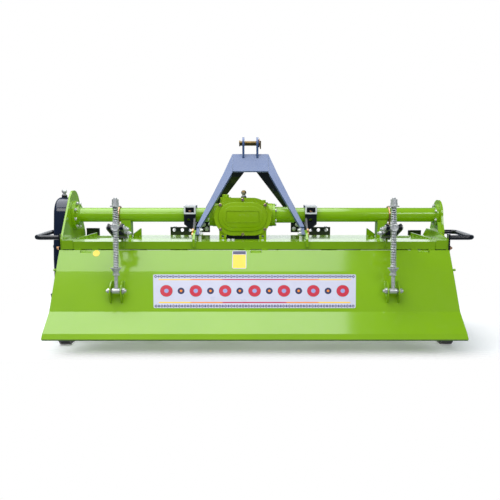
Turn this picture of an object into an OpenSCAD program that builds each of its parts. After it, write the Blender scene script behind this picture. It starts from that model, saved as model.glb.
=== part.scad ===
// Mounted rotary tiller, seen from behind in its working pose and parked on its two skids.
// Row frame: +X to the right when looking from behind, +Y forward (towards the tractor), +Z up, ground at z = 0.

/* [Frame] */
// Half of the overall width over the side plates
half_w = 975; // [900:5:1050]
// Thickness of each side plate
side_t = 10; // [8:1:14]
// Thickness of the deck sheet
deck_t = 6; // [4:1:8]
// Height of the deck's top face above the ground
deck_z = 510; // [500:1:515]

/* [Main tube and drive] */
// Position of the main tube's axis along Y, which centres the whole part on the origin
tube_y = 143; // [100:1:180]
// Height of the main tube's axis
tube_z = 632; // [620:1:645]
// Outside diameter of the main tube
tube_d = 76; // [70:1:89]
// Sideways place of the hitch's centre line
hitch_x = -20; // [-40:1:0]
// Sideways place of the gearbox's centre
gearbox_x = -60; // [-70:1:-50]

/* [Trailing board] */
// Distance of the board's hinge behind the tube's axis
hinge_dy = 245; // [240:1:250]
// Height of the board's hinge
hinge_z = 466; // [462:1:468]
// Thickness of the board's sheet
board_t = 5; // [4:0.5:6]

/* [Spring rods] */
// Sideways place of each spring rod
rod_x = 660; // [640:1:680]
// Distance of the rod's trunnion behind the board's hinge
trun_dy = 150; // [145:1:155]
// Height of the trunnion above the board's hinge
trun_dz = 137; // [132:1:140]
// Distance of the rod's lower eye behind the board's hinge
eye_dy = 178; // [176:1:180]
// Depth of the rod's lower eye under the board's hinge
eye_dz = 164; // [162:1:166]
// Radius of the rod
rod_r = 9; // [8:0.5:9]

/* [Rotor] */
// Position of the rotor's axis behind the tube's axis
rotor_dy = 20; // [10:1:25]
// Height of the rotor's axis
rotor_z = 238; // [236:1:242]
// Radius of the blade tips
rotor_r = 228; // [220:1:230]
// Number of blade flanges on the rotor
flange_n = 8; // [7:1:8]
// Spacing of the blade flanges
flange_gap = 236; // [225:1:240]

/* [Hidden] */
$fn = 48;
TY = tube_y;
HY = TY - hinge_dy;
HZ = hinge_z;
RY = TY - rotor_dy;
tube_r = tube_d / 2;
inner_w = half_w - side_t;
TRY = HY - trun_dy;
TRZ = HZ + trun_dz;
EYY = HY - eye_dy;
EYZ = HZ - eye_dz;
rod_len = norm([TRY - EYY, TRZ - EYZ]);
rod_lean = atan2(TRY - EYY, TRZ - EYZ);
beam_lo = HZ + 12;
beam_hi = 511;
leg_x = 284;
pto_x = hitch_x;
case_x = -1055;
guard_x = 1103;
guard_z = 536;

// Names of every node

GREEN = [0.42, 0.68, 0.06];
GREY = [0.33, 0.37, 0.45];
BLACK = [0.05, 0.05, 0.06];
ZINC = [0.75, 0.75, 0.76];

function unit(v) = v / norm(v);
function nrm(a, b) = let (d = unit(b - a)) [-d[1], d[0]];
function miter(p, i) = let (n = len(p))
    i == 0 ? nrm(p[0], p[1]) :
    i == n - 1 ? nrm(p[n - 2], p[n - 1]) :
    let (a = nrm(p[i - 1], p[i]), b = nrm(p[i], p[i + 1]), m = unit(a + b)) m / (m * a);
// Outline of a bent sheet: the path p on one side and its offset by t on the other
function band(p, t) = concat(p, [for (i = [len(p) - 1:-1:0]) p[i] + t * miter(p, i)]);

// A shape drawn in (Y, Z), extruded along X from x0 by t
module yz(x0, t) { translate([x0, 0, 0]) rotate([90, 0, 90]) linear_extrude(t) children(); }
// A shape drawn in (X, Z), extruded along Y from y0 by t
module xz(y0, t) { translate([0, y0 + t, 0]) rotate([90, 0, 0]) linear_extrude(t) children(); }
// A cylinder along X, from x0 by h
module cx(x0, y, z, r, h) { translate([x0, y, z]) rotate([0, 90, 0]) cylinder(h = h, r = r); }
// A cylinder along Y, from y0 by h
module cy(x, y0, z, r, h) { translate([x, y0 + h, z]) rotate([90, 0, 0]) cylinder(h = h, r = r); }
// A box from its low corner to its high corner
module box(a, b) { translate(a) cube(b - a); }
// A box that is mirrored to the other side for side = -1
module at_side(s) { if (s > 0) children(); else mirror([1, 0, 0]) children(); }
// A straight bar between two points in one XZ or YZ plane is drawn with polygons below

// ---------------------------------------------------------------- frame sheets
// Deck path in (Y, Z): rear skirt, flat top, front slope, front lip
deck_path = [[HY + 11, HZ + 12], [HY + 11, deck_z - deck_t], [TY + 100, deck_z - deck_t], [TY + 178, 446], [TY + 186, 414]];
module deck() color(GREEN) yz(-inner_w, 2 * inner_w) polygon(band(deck_path, deck_t));

module rear_beam() color(GREEN) {
    // open channel that caps the deck's rear edge, with a flat doubler at each end
    yz(-inner_w, 2 * inner_w) polygon(band([[HY + 4, beam_lo], [HY, beam_lo], [HY, beam_hi + 6], [HY + 92, beam_hi + 6], [HY + 92, beam_hi - 1]], -5));
    for (s = [-1, 1]) at_side(s) box([inner_w - 55, HY - 5, beam_lo + 1], [inner_w, HY, beam_hi + 13]);
}

module front_beam() color(GREEN) difference() {
    box([-inner_w, TY + 46, deck_z - deck_t - 38], [inner_w, TY + 96, deck_z - deck_t]);
    box([-inner_w - 1, TY + 51, deck_z - deck_t - 33], [inner_w + 1, TY + 91, deck_z - deck_t - 5]);
}

// Left plate, which carries the side drive: a tall arch over the tube and a full skirt below
module left_outline() {
    translate([TY, 666]) circle(r = 97, $fn = 64);
    polygon([[TY - 74.4, 728.2], [HY + 4, 529], [HY + 4, 470], [RY - 190, 330], [RY - 150, 150], [RY - 90, 92],
        [RY + 90, 92], [RY + 168, 170], [TY + 196, 300], [TY + 200, 470], [TY + 187, 524], [TY + 85.3, 712.1]]);
}
// Right plate, which is lower and has a narrow upright for the tube
module right_outline() polygon([[TY - 112, 548], [HY + 4, 526], [HY + 4, 470], [RY - 190, 330], [RY - 150, 150], [RY - 90, 92],
    [RY + 90, 92], [RY + 168, 170], [TY + 196, 300], [TY + 200, 440], [TY + 180, 500], [TY + 112, 548]]);
module right_neck() {
    translate([TY, tube_z]) circle(r = 80, $fn = 64);
    polygon([[TY - 80, tube_z], [TY - 92, 590], [TY - 112, 552], [TY - 112, 518], [TY + 112, 518], [TY + 112, 552], [TY + 92, 590], [TY + 80, tube_z]]);
}
module side_plate_left() color(GREEN) difference() {
    yz(-half_w, side_t) left_outline();
    cx(-half_w - 1, TY, tube_z, 30, side_t + 2);
    cx(-half_w - 1, RY, rotor_z, 60, side_t + 2);
}
module side_plate_right() color(GREEN) {
    difference() {
        union() {
            yz(inner_w, side_t) right_outline();
            // the upright stands further out on a spacer
            yz(inner_w + 20, side_t) right_neck();
            box([inner_w + 9.9, TY - 112, 518], [inner_w + 20.1, TY + 112, 547.9]);
        }
        cx(inner_w + 19, TY, tube_z, 30, side_t + 2);
        cx(inner_w - 1, RY, rotor_z, 48, side_t + 2);
    }
    // short stiffening flange at the foot of the upright
    yz(inner_w, 20.1) polygon([[TY - 108, 549], [TY - 96, 549], [TY - 76, 600], [TY - 82, 600]]);
}

// Wedge rib standing on the deck from (x0, y0), where it is low, to (x1, y1), where it is h high
module wedge(x0, y0, x1, y1, h0, h, t = 8) {
    l = norm([x1 - x0, y1 - y0]);
    translate([x0, y0, deck_z]) rotate([0, 0, atan2(y1 - y0, x1 - x0)]) translate([0, t / 2, 0]) rotate([90, 0, 0])
        linear_extrude(t) polygon([[0, 0], [l, 0], [l, h], [0, h0]]);
}
module deck_braces() color(GREEN) for (s = [-1, 1]) at_side(s) {
    wedge(936, TY - 88, 866, TY + 54, 4, 20);
    // flat cover beside it
    box([776, TY + 8, deck_z], [846, TY + 58, deck_z + 5]);
}

// Upright plates at the deck's front corners
module front_plates() color(BLACK) for (s = [-1, 1]) at_side(s) {
    h = s > 0 ? 529 : 541;
    box([884, TY + 186, 482], [958, TY + 194, h]);
    box([884, TY + 176.5, 482], [892, TY + 186.1, h]);
}

// ---------------------------------------------------------------- side drive
module case_outline() {
    translate([TY, tube_z]) circle(r = 95, $fn = 64);
    translate([RY, rotor_z]) circle(r = 108, $fn = 64);
    polygon([[TY - 95, tube_z], [TY - 118, 520], [RY - 122, 400], [RY - 108, rotor_z], [RY + 108, rotor_z], [TY + 116, 400], [TY + 118, 520], [TY + 95, tube_z]]);
}
module case_inner() {
    translate([TY, tube_z]) circle(r = 82, $fn = 64);
    translate([RY, rotor_z]) circle(r = 95, $fn = 64);
    polygon([[TY - 82, tube_z], [TY - 104, 520], [RY - 108, 400], [RY - 95, rotor_z], [RY + 95, rotor_z], [TY + 102, 400], [TY + 104, 520], [TY + 82, tube_z]]);
}
module side_drive_case() color(BLACK) {
    // pressed cover over its mounting flange, hollow behind a wall of 13 mm
    difference() {
        yz(case_x, -half_w - case_x - 12) case_outline();
        yz(case_x + 12, -half_w - case_x) case_inner();
    }
    difference() {
        yz(-half_w - 12, 12) case_outline();
        cx(-half_w - 13, TY, tube_z, 30, 14);
        cx(-half_w - 13, RY, rotor_z, 60, 14);
        cx(-half_w - 13, TY - 5, 435, 60, 14);
    }
    // lower bearing cap with its ledge
    cx(case_x - 16, RY, rotor_z, 62, 16.01);
    yz(case_x - 24, 24.01) polygon([[RY - 96, 222], [RY - 40, 222], [RY - 50, 150], [RY - 78, 176]]);
}
module side_drive_breather() color(ZINC) {
    translate([-1018, TY, tube_z + 95]) cylinder(h = 17, r = 13, $fn = 6);
    translate([-1018, TY, tube_z + 112]) cylinder(h = 6, r = 6);
    translate([-1018, TY, tube_z + 118]) cylinder(h = 22, r = 13);
}

// ---------------------------------------------------------------- main tube
module tube_len(x0, x1) difference() {
    cx(x0, TY, tube_z, tube_r, x1 - x0);
    cx(x0 - 1, TY, tube_z, tube_r - 8, x1 - x0 + 2);
}
module main_tube_left() color(GREEN) {
    tube_len(-inner_w + 16, -222);
    difference() {
        union() {
            cx(-inner_w, TY, tube_z, 75, 16);
            cx(-inner_w + 16, TY, tube_z, 54, 14);
            cx(-238, TY, tube_z, 60, 16);
        }
        cx(-inner_w - 1, TY, tube_z, 29, 900);
    }
}
module main_tube_right() color(GREEN) {
    tube_len(122, inner_w + 6);
    difference() {
        union() {
            cx(inner_w + 6, TY, tube_z, 58, 14);
            cx(98, TY, tube_z, 60, 14);
            cx(112, TY, tube_z, 43, 103);
        }
        cx(97, TY, tube_z, 29, 900);
    }
}

// ---------------------------------------------------------------- gearbox
module stadium(w, h) {
    square([w - h, h], center = true);
    for (s = [-1, 1]) translate([s * (w - h) / 2, 0]) circle(r = h / 2, $fn = 96);
}
module gearbox_housing() color(GREEN) {
    difference() {
        union() {
            // oval rear chamber, then the bevel housing that reaches forward
            xz(TY - 92, 74) translate([gearbox_x, 630]) stadium(286, 184);
            box([gearbox_x - 122, TY - 18.5, 556], [gearbox_x + 122, TY + 96, 700]);
            cx(-222, TY, tube_z, 62, 320);
            // round bosses on top
            translate([gearbox_x - 92, TY - 20, 690]) cylinder(h = 38, r = 30);
            translate([gearbox_x + 108, TY - 10, 640]) cylinder(h = 60, r = 26);
        }
        cy(pto_x, TY + 40, tube_z, 20.06, 100);
    }
    // feet under the rear chamber, drilled for their bolts
    for (s = [-1, 1]) difference() {
        union() {
            box([gearbox_x + s * 105 - 19, TY - 104, deck_z], [gearbox_x + s * 105 + 19, TY - 70, deck_z + 26]);
            box([gearbox_x + s * 105 - 19, TY - 91.8, deck_z + 25], [gearbox_x + s * 105 + 19, TY - 70, 580]);
            box([gearbox_x + s * 105 - 19, TY - 90, deck_z], [gearbox_x + s * 105 + 19, TY + 60, deck_z + 8]);
        }
        cy(gearbox_x + s * 105, TY - 105, deck_z + 17, 7, 40);
    }
    box([gearbox_x - 80, TY + 20, deck_z + 10], [gearbox_x + 80, TY + 60, 560]);
}
module gearbox_cover() color(GREEN) {
    xz(TY - 104, 12) translate([gearbox_x, 630]) stadium(300, 198);
    xz(TY - 110, 6.01) translate([gearbox_x, 630]) stadium(252, 150);
}
module gearbox_breather() color(ZINC) {
    translate([gearbox_x + 5, TY - 50, 722]) cylinder(h = 14, r = 12, $fn = 6);
    translate([gearbox_x + 5, TY - 50, 734]) cylinder(h = 4, r = 6);
    translate([gearbox_x + 5, TY - 50, 738]) cylinder(h = 14, r = 14);
}
module gearbox_base() color(BLACK) {
    box([gearbox_x - 85, TY - 126, deck_z], [gearbox_x + 85, TY + 80, deck_z + 10]);
    box([gearbox_x - 85, TY - 90, deck_z + 9.9], [gearbox_x + 85, TY - 22, deck_z + 26]);
}
module input_hub() color(GREEN) difference() {
    union() {
        cy(pto_x, TY + 96, tube_z, 66, 14);
        cy(pto_x, TY + 110, tube_z, 50, 22);
    }
    cy(pto_x, TY + 95, tube_z, 20.06, 60);
}
module input_shaft() color(ZINC) {
    cy(pto_x, TY + 60, tube_z, 20, 84);
    // six splines, 34.9 mm over their tips
    difference() {
        cy(pto_x, TY + 144, tube_z, 17.45, 84);
        for (a = [0:60:300]) translate([pto_x, 0, tube_z]) rotate([0, a, 0]) box([14.8, TY + 143, -4.6], [20, TY + 230, 4.6]);
        translate([pto_x, TY + 200, tube_z]) rotate([-90, 0, 0]) difference() { cylinder(h = 7, r = 20); translate([0, 0, -1]) cylinder(h = 9, r = 14.7); }
    }
}

// ---------------------------------------------------------------- mast
// The rear face leans forward at its top: its line runs from the foot to the head plate's lower edge
head_y = TY + 62;
head_z = 860;
foot_y = TY - 149;
foot_z = 582;
head_h = 123;
rear_lean = atan2(head_y - foot_y, head_z - foot_z);
rear_leg_len = norm([head_y - foot_y, head_z - foot_z]);
// A point on the face plane at height z, as its Y
function face_y(z) = head_y + (z - head_z) * tan(rear_lean);
// clevis for the tractor's top link
ear_x = 38.5;
ear_t = 12;
ear_y = TY + 135;
pin_z = 1016;
// second hole in the ears
low_y = TY + 160;
low_z = 928;

// Rear face plane: local X is the row's X, local Y climbs the face, local Z points up and back
module on_face() translate([hitch_x, head_y, head_z]) rotate([90 - rear_lean, 0, 0]) children();
module mast_head() color(GREY) {
    on_face() translate([0, 0, -8]) linear_extrude(8) difference() {
        polygon([[-97, 6], [97, 6], [97, head_h], [-97, head_h]]);
        for (s = [-1, 1]) translate([s * ear_x - ear_t / 2 - 0.2, 95]) square([ear_t + 0.4, 40]);
    }
    // cheeks and front plate that close the head between the legs
    for (s = [-1, 1]) translate([hitch_x, 0, 0]) at_side(s) yz(88, 8)
        polygon([[face_y(866) + 10.2, 866], [face_y(934) + 10.2, 934], [fl_y(934) - 6.4, 934], [fl_y(866) - 6.4, 866]]);
    translate([hitch_x, 0, 0]) yz(-87.9, 175.8) polygon([[fl_y(866) - 14.4, 866], [fl_y(888) - 14.4, 888], [fl_y(888) - 6.4, 888], [fl_y(866) - 6.4, 866]]);
}
// rear leg: flat bar on the face plane, with an inner edge turned forward
module rear_leg(s) on_face() at_side(s) {
    translate([0, 0, -8]) linear_extrude(8) polygon([[97.1, head_h], [97.1, 0], [98, -2], [257, -rear_leg_len], [279, -rear_leg_len], [144, -2], [100, head_h]]);
    // tab bolted to the rib
    translate([0, 0, -24]) linear_extrude(16.1) polygon([[262, -rear_leg_len + 12], [274, -rear_leg_len + 12], [277.9, -rear_leg_len], [277.9, -rear_leg_len - 42], [262, -rear_leg_len - 42]]);
    translate([0, 0, -24]) linear_extrude(16.1) polygon([[102, -8], [257, -rear_leg_len + 1], [263, -rear_leg_len + 1], [108, -8]]);
}
module mast_rear_leg_left() color(GREY) rear_leg(-1);
module mast_rear_leg_right() color(GREY) rear_leg(1);

// front legs: flat bars that run down and forward from the head to the hitch brackets
fl_top = [TY + 136, 936];
fl_foot = [TY + 198, 604];
fl_lean = atan2(fl_foot[0] - fl_top[0], fl_top[1] - fl_foot[1]);
function fl_y(z) = fl_top[0] + (fl_top[1] - z) * tan(fl_lean);
module front_leg(s) {
    l = norm(fl_foot - fl_top);
    translate([hitch_x, fl_top[0], fl_top[1]]) rotate([90 + fl_lean, 0, 0]) at_side(s) translate([0, 0, -6])
        linear_extrude(12) polygon([[46, 0], [100, 0], [284, -l], [232, -l], [34, -78], [46, -60]]);
    // vertical foot that is bolted to the bracket
    translate([hitch_x, 0, 0]) at_side(s) box([232, fl_foot[0] - 6, 516], [282, fl_foot[0] + 6, 602.5]);
}
module mast_front_leg_left() color(BLACK) front_leg(-1);
module mast_front_leg_right() color(BLACK) front_leg(1);

module clevis_ear(s) translate([hitch_x + s * ear_x - ear_t / 2, 0, 0]) difference() {
    yz(0, ear_t) union() {
        translate([ear_y, pin_z]) circle(r = 34, $fn = 64);
        polygon([[ear_y - 34, pin_z], [ear_y + 34, pin_z], [TY + 186, 936], [TY + 184, 896], [face_y(896) + 10.4, 896], [face_y(935) + 10.4, 935], [face_y(937), 937.5]]);
    }
    cx(-1, ear_y, pin_z, 12.8, ear_t + 2);
    cx(-1, low_y, low_z, 12.8, ear_t + 2);
}
module clevis_ear_left() color(GREY) clevis_ear(-1);
module clevis_ear_right() color(GREY) clevis_ear(1);
module top_link_pin() color(ZINC) {
    cx(hitch_x - 56, ear_y, pin_z, 12.7, 108);
    cx(hitch_x - 62, ear_y, pin_z, 16, 6.1);
    // flat handle on the right end
    box([hitch_x + 52, ear_y - 9, pin_z - 30], [hitch_x + 59, ear_y + 9, pin_z + 14]);
}

// ribs that carry the rear legs, standing on the deck and lapped over the rear beam
module mast_ribs() color(GREEN) for (s = [-1, 1]) yz(hitch_x + s * leg_x - 6, 12)
    polygon([[HY - 14, beam_lo + 12], [HY - 5.2, beam_lo + 8], [HY - 5.2, beam_hi + 6.2], [HY + 92.2, beam_hi + 6.2], [HY + 92.2, deck_z], [HY + 124, deck_z], [HY + 106, 562], [HY + 84, 566], [HY + 20, 556], [HY - 14, 530]]);

// ---------------------------------------------------------------- hitch
link_y = TY + 264;
link_z = 506;
module hitch_bracket(s) translate([hitch_x, 0, 0]) at_side(s) {
    difference() {
        union() {
            // clamp around the main tube
            box([290, TY - 58, tube_z - 44], [352, TY + 46, tube_z + 51]);
            // cheek that runs forward and down to the front bar and carries the lower link pin
            yz(290, 12) union() {
                polygon([[TY + 40, tube_z + 20], [TY + 40, tube_z - 60], [TY + 60, deck_z + 4], [TY + 160, deck_z + 4], [link_y - 22, link_z - 16], [link_y + 26, link_z + 12], [TY + 250, 560], [TY + 200, 606], [TY + 110, tube_z + 14]]);
                translate([link_y, link_z]) circle(r = 28, $fn = 64);
            }
            // gusset under the clamp's rear face
            xz(TY - 58, 8) polygon([[290, 590], [352, 590], [352, 586], [322, 562], [290, 548]]);
            // rear tail down to the mast rib
            yz(290, 10) polygon([[TY - 57, tube_z - 8], [TY - 57, tube_z - 44], [TY - 90, 552], [HY + 112, 520], [HY + 112, 562], [TY - 96, 590]]);
        }
        cx(280, TY, tube_z, tube_r + 0.2, 90);
        box([300, TY - 59, 649], [342, TY - 42, 675]);
        cy(s > 0 ? 320 : 328, TY - 60, 606, 10, 34);
        cx(280, link_y, link_z, 14.45, 90);
    }
}
module hitch_bracket_left() color(BLACK) hitch_bracket(-1);
module hitch_bracket_right() color(BLACK) hitch_bracket(1);
module hitch_bar(s) translate([hitch_x, 0, 0]) at_side(s) difference() {
    union() {
        box([302.1, TY + 206, 492], [460, TY + 214, 545]);
        // lug for the outer end of the link pin
        yz(358, 12) {
            polygon([[TY + 213.9, 492], [TY + 213.9, 545], [link_y - 4, 545], [link_y + 24, link_z + 14], [link_y, link_z - 28], [TY + 224, link_z - 24]]);
            translate([link_y, link_z]) circle(r = 28, $fn = 64);
        }
    }
    cx(350, link_y, link_z, 14.45, 30);
    for (i = [0:2]) cy(346 + i * 46, TY + 200, 528, 10, 20);
}
module hitch_bar_left() color(BLACK) hitch_bar(-1);
module hitch_bar_right() color(BLACK) hitch_bar(1);
module hitch_pin(s) color(ZINC) translate([hitch_x, 0, 0]) at_side(s) difference() {
    union() {
        cx(284, link_y, link_z, 20, 5.8);
        cx(289.8, link_y, link_z, 14.3, 162.2);
        cx(370.2, link_y, link_z, 24, 8);
    }
    translate([440, link_y, link_z - 30]) cylinder(h = 60, r = 5.5);
}
module hitch_pin_left() hitch_pin(-1);
module hitch_pin_right() hitch_pin(1);

// ---------------------------------------------------------------- spring rod supports
module rod_ribs() color(GREEN) for (s = [-1, 1]) at_side(s) {
    // plate lapped over the rear beam, which carries the fork
    yz(rod_x - 5, 10) polygon([[HY - 14, beam_lo + 12], [HY - 5.2, beam_lo + 8], [HY - 5.2, beam_hi + 6.2], [HY + 92.2, beam_hi + 6.2], [HY + 92.2, deck_z], [HY + 150, deck_z], [HY + 96, 540], [HY + 60, 562], [HY - 14, 550]]);
    wedge(rod_x - 7, TY + 12, rod_x - 39, TY + 54, 18, 43);
    // pedestal under the main tube
    difference() {
        box([rod_x, TY - 32, deck_z], [rod_x + 52, TY + 32, tube_z - 24]);
        cx(rod_x - 1, TY, tube_z, tube_r + 3.2, 54);
        box([rod_x + 5, TY - 25, deck_z + 5], [rod_x + 47, TY + 33, tube_z - tube_r - 9]);
    }
}
module rod_forks() color(BLACK) for (s = [-1, 1]) at_side(s) difference() {
    union() {
        // two arms from the rib to the trunnion, joined by a web at their root
        for (x = [rod_x - 36, rod_x + 30]) yz(x, 6) union() {
            translate([TRY, TRZ]) circle(r = 19);
            polygon([[TRY, TRZ - 19], [TRY + 10, TRZ + 17], [HY - 36, 574], [HY - 24, 546], [HY - 40, 540]]);
        }
        for (x = [rod_x - 30.1, rod_x + 21]) cx(x, TRY, TRZ, 14, 9.1);
        yz(rod_x - 36, 72) polygon([[HY - 60, 580], [HY - 36, 574], [HY - 24, 546], [HY - 40, 540], [HY - 64, 556]]);
        // tail plates either side of the rib, bolted through it
        for (x = [rod_x - 11.2, rod_x + 5.2]) yz(x, 6) polygon([[HY - 42, 572], [HY + 44, 546], [HY + 44, 522], [HY - 32, 530], [HY - 42, 540]]);
    }
    cx(rod_x - 40, TRY, TRZ, 8.08, 80);
}
module u_bolts() color(ZINC) for (s = [-1, 1]) translate([s * (rod_x + 62), TY, tube_z]) {
    rotate([90, 0, 90]) rotate_extrude(angle = 180, $fn = 64) translate([tube_r + 5.3, 0]) circle(r = 5, $fn = 24);
    for (q = [-1, 1]) translate([0, q * (tube_r + 5.3), -72]) cylinder(h = 72, r = 5, $fn = 24);
    translate([s > 0 ? -9.8 : -14, -54, -56]) cube([23.8, 108, 8]);
    for (q = [-1, 1]) translate([0, q * (tube_r + 5.3), -65]) cylinder(h = 9, r = 9, $fn = 6);
}

// ---------------------------------------------------------------- guards and skids
module guard(s, x_in_rear, x_in_front) at_side(s) {
    r = 12; R = 34; y0 = HY + 14; y1 = TY + 34; xo = guard_x;
    cx(x_in_rear, y0, guard_z, r, xo - R - x_in_rear);
    cx(x_in_front, y1, guard_z, r, xo - R - x_in_front);
    translate([xo, y0 + R, guard_z]) rotate([-90, 0, 0]) cylinder(h = y1 - y0 - 2 * R, r = r);
    translate([xo - R, y0 + R, guard_z]) rotate([0, 0, -90]) rotate_extrude(angle = 90) translate([R, 0]) circle(r = r);
    translate([xo - R, y1 - R, guard_z]) rotate_extrude(angle = 90) translate([R, 0]) circle(r = r);
}
module side_guard_left() color(BLACK) {
    difference() {
        guard(-1, half_w, half_w);
        // the front leg stops at the drive case
        box([case_x - 0.3, TY - 20, guard_z - 20], [-half_w + 1, TY + 60, guard_z + 20]);
    }
    box([-half_w - 8, HY + 2, guard_z - 70], [-half_w, HY + 34, guard_z + 18]);
}
module side_guard_right() color(BLACK) {
    guard(1, half_w, inner_w + 30);
    box([half_w, HY + 2, guard_z - 70], [half_w + 8, HY + 34, guard_z + 18]);
    box([inner_w + 30, TY + 10, guard_z - 16], [inner_w + 38, TY + 58, guard_z + 18]);
}
skid_path = [[HY - 70, 26], [HY - 56, 9], [TY + 96, 0], [TY + 200, 34], [TY + 248, 120]];
module skid(s, x0) at_side(s) {
    // sole turned up at both ends, with an upright web bolted to the side plate
    translate([x0, 0, 0]) yz(0, 56) polygon(band([[HY - 76, 30], [HY - 52, 4], [HY - 40, 0], [TY + 120, 0], [TY + 200, 40], [TY + 236, 110]], 8));
}
module skid_left() color(BLACK) {
    skid(-1, 926);
    yz(-inner_w + 0.2, 8) polygon([[HY - 44, 7.5], [TY + 118, 7.5], [TY + 196, 46], [RY + 150, 190], [RY + 110, 200], [RY + 60, 120], [RY - 80, 120], [RY - 130, 210], [RY - 165, 200]]);
}
module skid_right() color(BLACK) {
    skid(1, 940);
    yz(half_w + 0.2, 8) polygon([[HY - 44, 7.5], [TY + 118, 7.5], [TY + 196, 46], [RY + 150, 190], [RY + 110, 200], [RY + 60, 120], [RY - 80, 120], [RY - 130, 210], [RY - 165, 200]]);
}

// ---------------------------------------------------------------- rotor bearings
module rotor_bearing_left() color(GREEN) difference() {
    cx(-half_w - 12, RY, rotor_z, 59.8, 36);
    cx(-half_w - 13, RY, rotor_z, 25.06, 40);
}
module rotor_bearing_right() color(GREEN) difference() {
    union() {
        cx(inner_w - 10, RY, rotor_z, 47.8, 22);
        cx(half_w, RY, rotor_z, 72, 14);
        cx(half_w + 14, RY, rotor_z, 46, 18);
    }
    cx(inner_w - 11, RY, rotor_z, 25.06, 46);
}

// ---------------------------------------------------------------- board hinge
hinge_rows = [-842, 8, 846];
module knuckle(x0, l) difference() { cx(x0, HY, HZ, 8, l); cx(x0 - 1, HY, HZ, 5.05, l + 2); }
module hinge_knuckles() color(GREEN) for (x = hinge_rows) for (s = [-1, 1]) {
    translate([x + s * 44, 0, 0]) {
        knuckle(-16, 32);
        box([-16, HY - 4, HZ + 6.6], [16, HY, beam_lo + 4]);
        box([-16, HY - 4, HZ + 6.6], [16, HY + 8, beam_lo]);
    }
}
module hinge_pins() color(ZINC) for (x = hinge_rows) { cx(x - 64, HY, HZ, 5, 128); cx(x - 68, HY, HZ, 7.5, 4); }

// ---------------------------------------------------------------- trailing board
// Outer face in (distance behind the hinge, depth under the hinge)
board_rows = [[15, -10], [85.7, 85.2], [207, 258], [315, 335.5], [333, 357], [322, 366]];
function bd(p) = [HY - p[0], HZ - p[1]];
board_path = [for (p = board_rows) bd(p)];
module trailing_board() color(GREEN) difference() {
    yz(-half_w, 2 * half_w) polygon(band(board_path, board_t));
    // notches in the upper edge for the hinge sleeves
    for (x = hinge_rows) box([x - 28, HY - 30, HZ - 2.5], [x + 28, HY, HZ + 12]);
}

// flat bars along both ends of the board, under the sheet
board_mid = [for (i = [0:3]) (i == 0 ? bd([34, 15.6]) : board_path[i]) + board_t * (i == 0 ? [0.803, -0.596] : miter(board_path, i)) * 0.6];
module board_end_plates() color(GREEN) for (s = [-1, 1]) at_side(s) {
    yz(half_w - 8, 8) difference() {
        polygon(band(board_mid, 26));
        polygon(band(board_path, board_t));
    }
    cx(half_w, HY - 86, HZ - 78, 6, 9);
}
module lug(x0) yz(x0, 6) difference() {
    intersection() {
        translate([HY - 150, HZ - 176]) circle(r = 56, $fn = 64);
        polygon([bd([85.7, 85.2]), bd([207, 258]), bd([330, 200]), bd([200, 40])]);
    }
    translate([EYY, EYZ]) circle(r = 12, $fn = 48);
}
module board_lugs() color(GREEN) for (s = [-1, 1]) at_side(s) { lug(rod_x + 23); lug(rod_x - 29); }
module board_knuckles() color(GREEN) for (x = hinge_rows) {
    knuckle(x - 27, 54);
    // leaf from the sleeve to the board's inner face
    yz(x - 27, 54) polygon([[HY - 19.33, HZ - 4.22], [HY - 25.28, HZ - 12.25], [HY - 4, HZ - 7], [HY - 6.5, HZ + 1]]);
}

// ---------------------------------------------------------------- spring rods
// Local frame at the trunnion with local Z up the rod
module on_rod(s) translate([s * rod_x, TRY, TRZ]) rotate([-rod_lean, 0, 0]) children();
module trunnion(s) on_rod(s) difference() {
    union() {
        // round block that faces the rear, with flat seats for the springs
        rotate([90, 0, 0]) translate([0, 0, -18]) cylinder(h = 36, r = 19);
        translate([0, 0, -19.4]) cylinder(h = 38.8, r = 14.8);
        rotate([0, 90, 0]) translate([0, 0, -42]) cylinder(h = 84, r = 8);
    }
    translate([0, 0, -30]) cylinder(h = 60, r = rod_r + 0.06);
}
module trunnion_left() color(ZINC) trunnion(-1);
module trunnion_right() color(ZINC) trunnion(1);
module spring_rod(s) on_rod(s) {
    difference() {
        union() {
            translate([0, 0, -rod_len]) cylinder(h = rod_len + 140, r = rod_r);
            // lower cup
            translate([0, 0, -196]) cylinder(h = 6, r = 26);
            translate([0, 0, -206]) cylinder(h = 10, r = 19);
            translate([0, 0, -218]) cylinder(h = 12, r = 14);
            // upper washer and two nuts
            translate([0, 0, 98]) cylinder(h = 5, r = 25);
            translate([0, 0, 103]) cylinder(h = 15, r = 17, $fn = 6);
            translate([0, 0, 119]) cylinder(h = 15, r = 16, $fn = 6);
            // cross sleeve
            translate([-18, 0, -rod_len]) rotate([0, 90, 0]) cylinder(h = 36, r = 13);
        }
        translate([-30, 0, -rod_len]) rotate([0, 90, 0]) cylinder(h = 60, r = 6.9);
    }
    // bolt through the sleeve and both lugs
    translate([-40, 0, -rod_len]) rotate([0, 90, 0]) cylinder(h = 80, r = 6.9);
    translate([-41, 0, -rod_len]) rotate([0, 90, 0]) cylinder(h = 9, r = 12.5, $fn = 6);
    translate([32, 0, -rod_len]) rotate([0, 90, 0]) cylinder(h = 9, r = 12.5, $fn = 6);
    for (x = [-31.9, 29.9]) translate([x, 0, -rod_len]) rotate([0, 90, 0]) cylinder(h = 2, r = 16);
}
module spring_rod_left() color(ZINC) spring_rod(-1);
module spring_rod_right() color(ZINC) spring_rod(1);
module coil(s, z0, z1) on_rod(s) difference() {
    translate([0, 0, z0]) cylinder(h = z1 - z0, r = 14.5);
    translate([0, 0, z0 - 1]) cylinder(h = z1 - z0 + 2, r = rod_r + 0.5);
}
module upper_spring_left() color(ZINC) coil(-1, 19.5, 97.8);
module upper_spring_right() color(ZINC) coil(1, 19.5, 97.8);
module lower_spring_left() color(ZINC) coil(-1, -189.8, -19.5);
module lower_spring_right() color(ZINC) coil(1, -189.8, -19.5);

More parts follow.
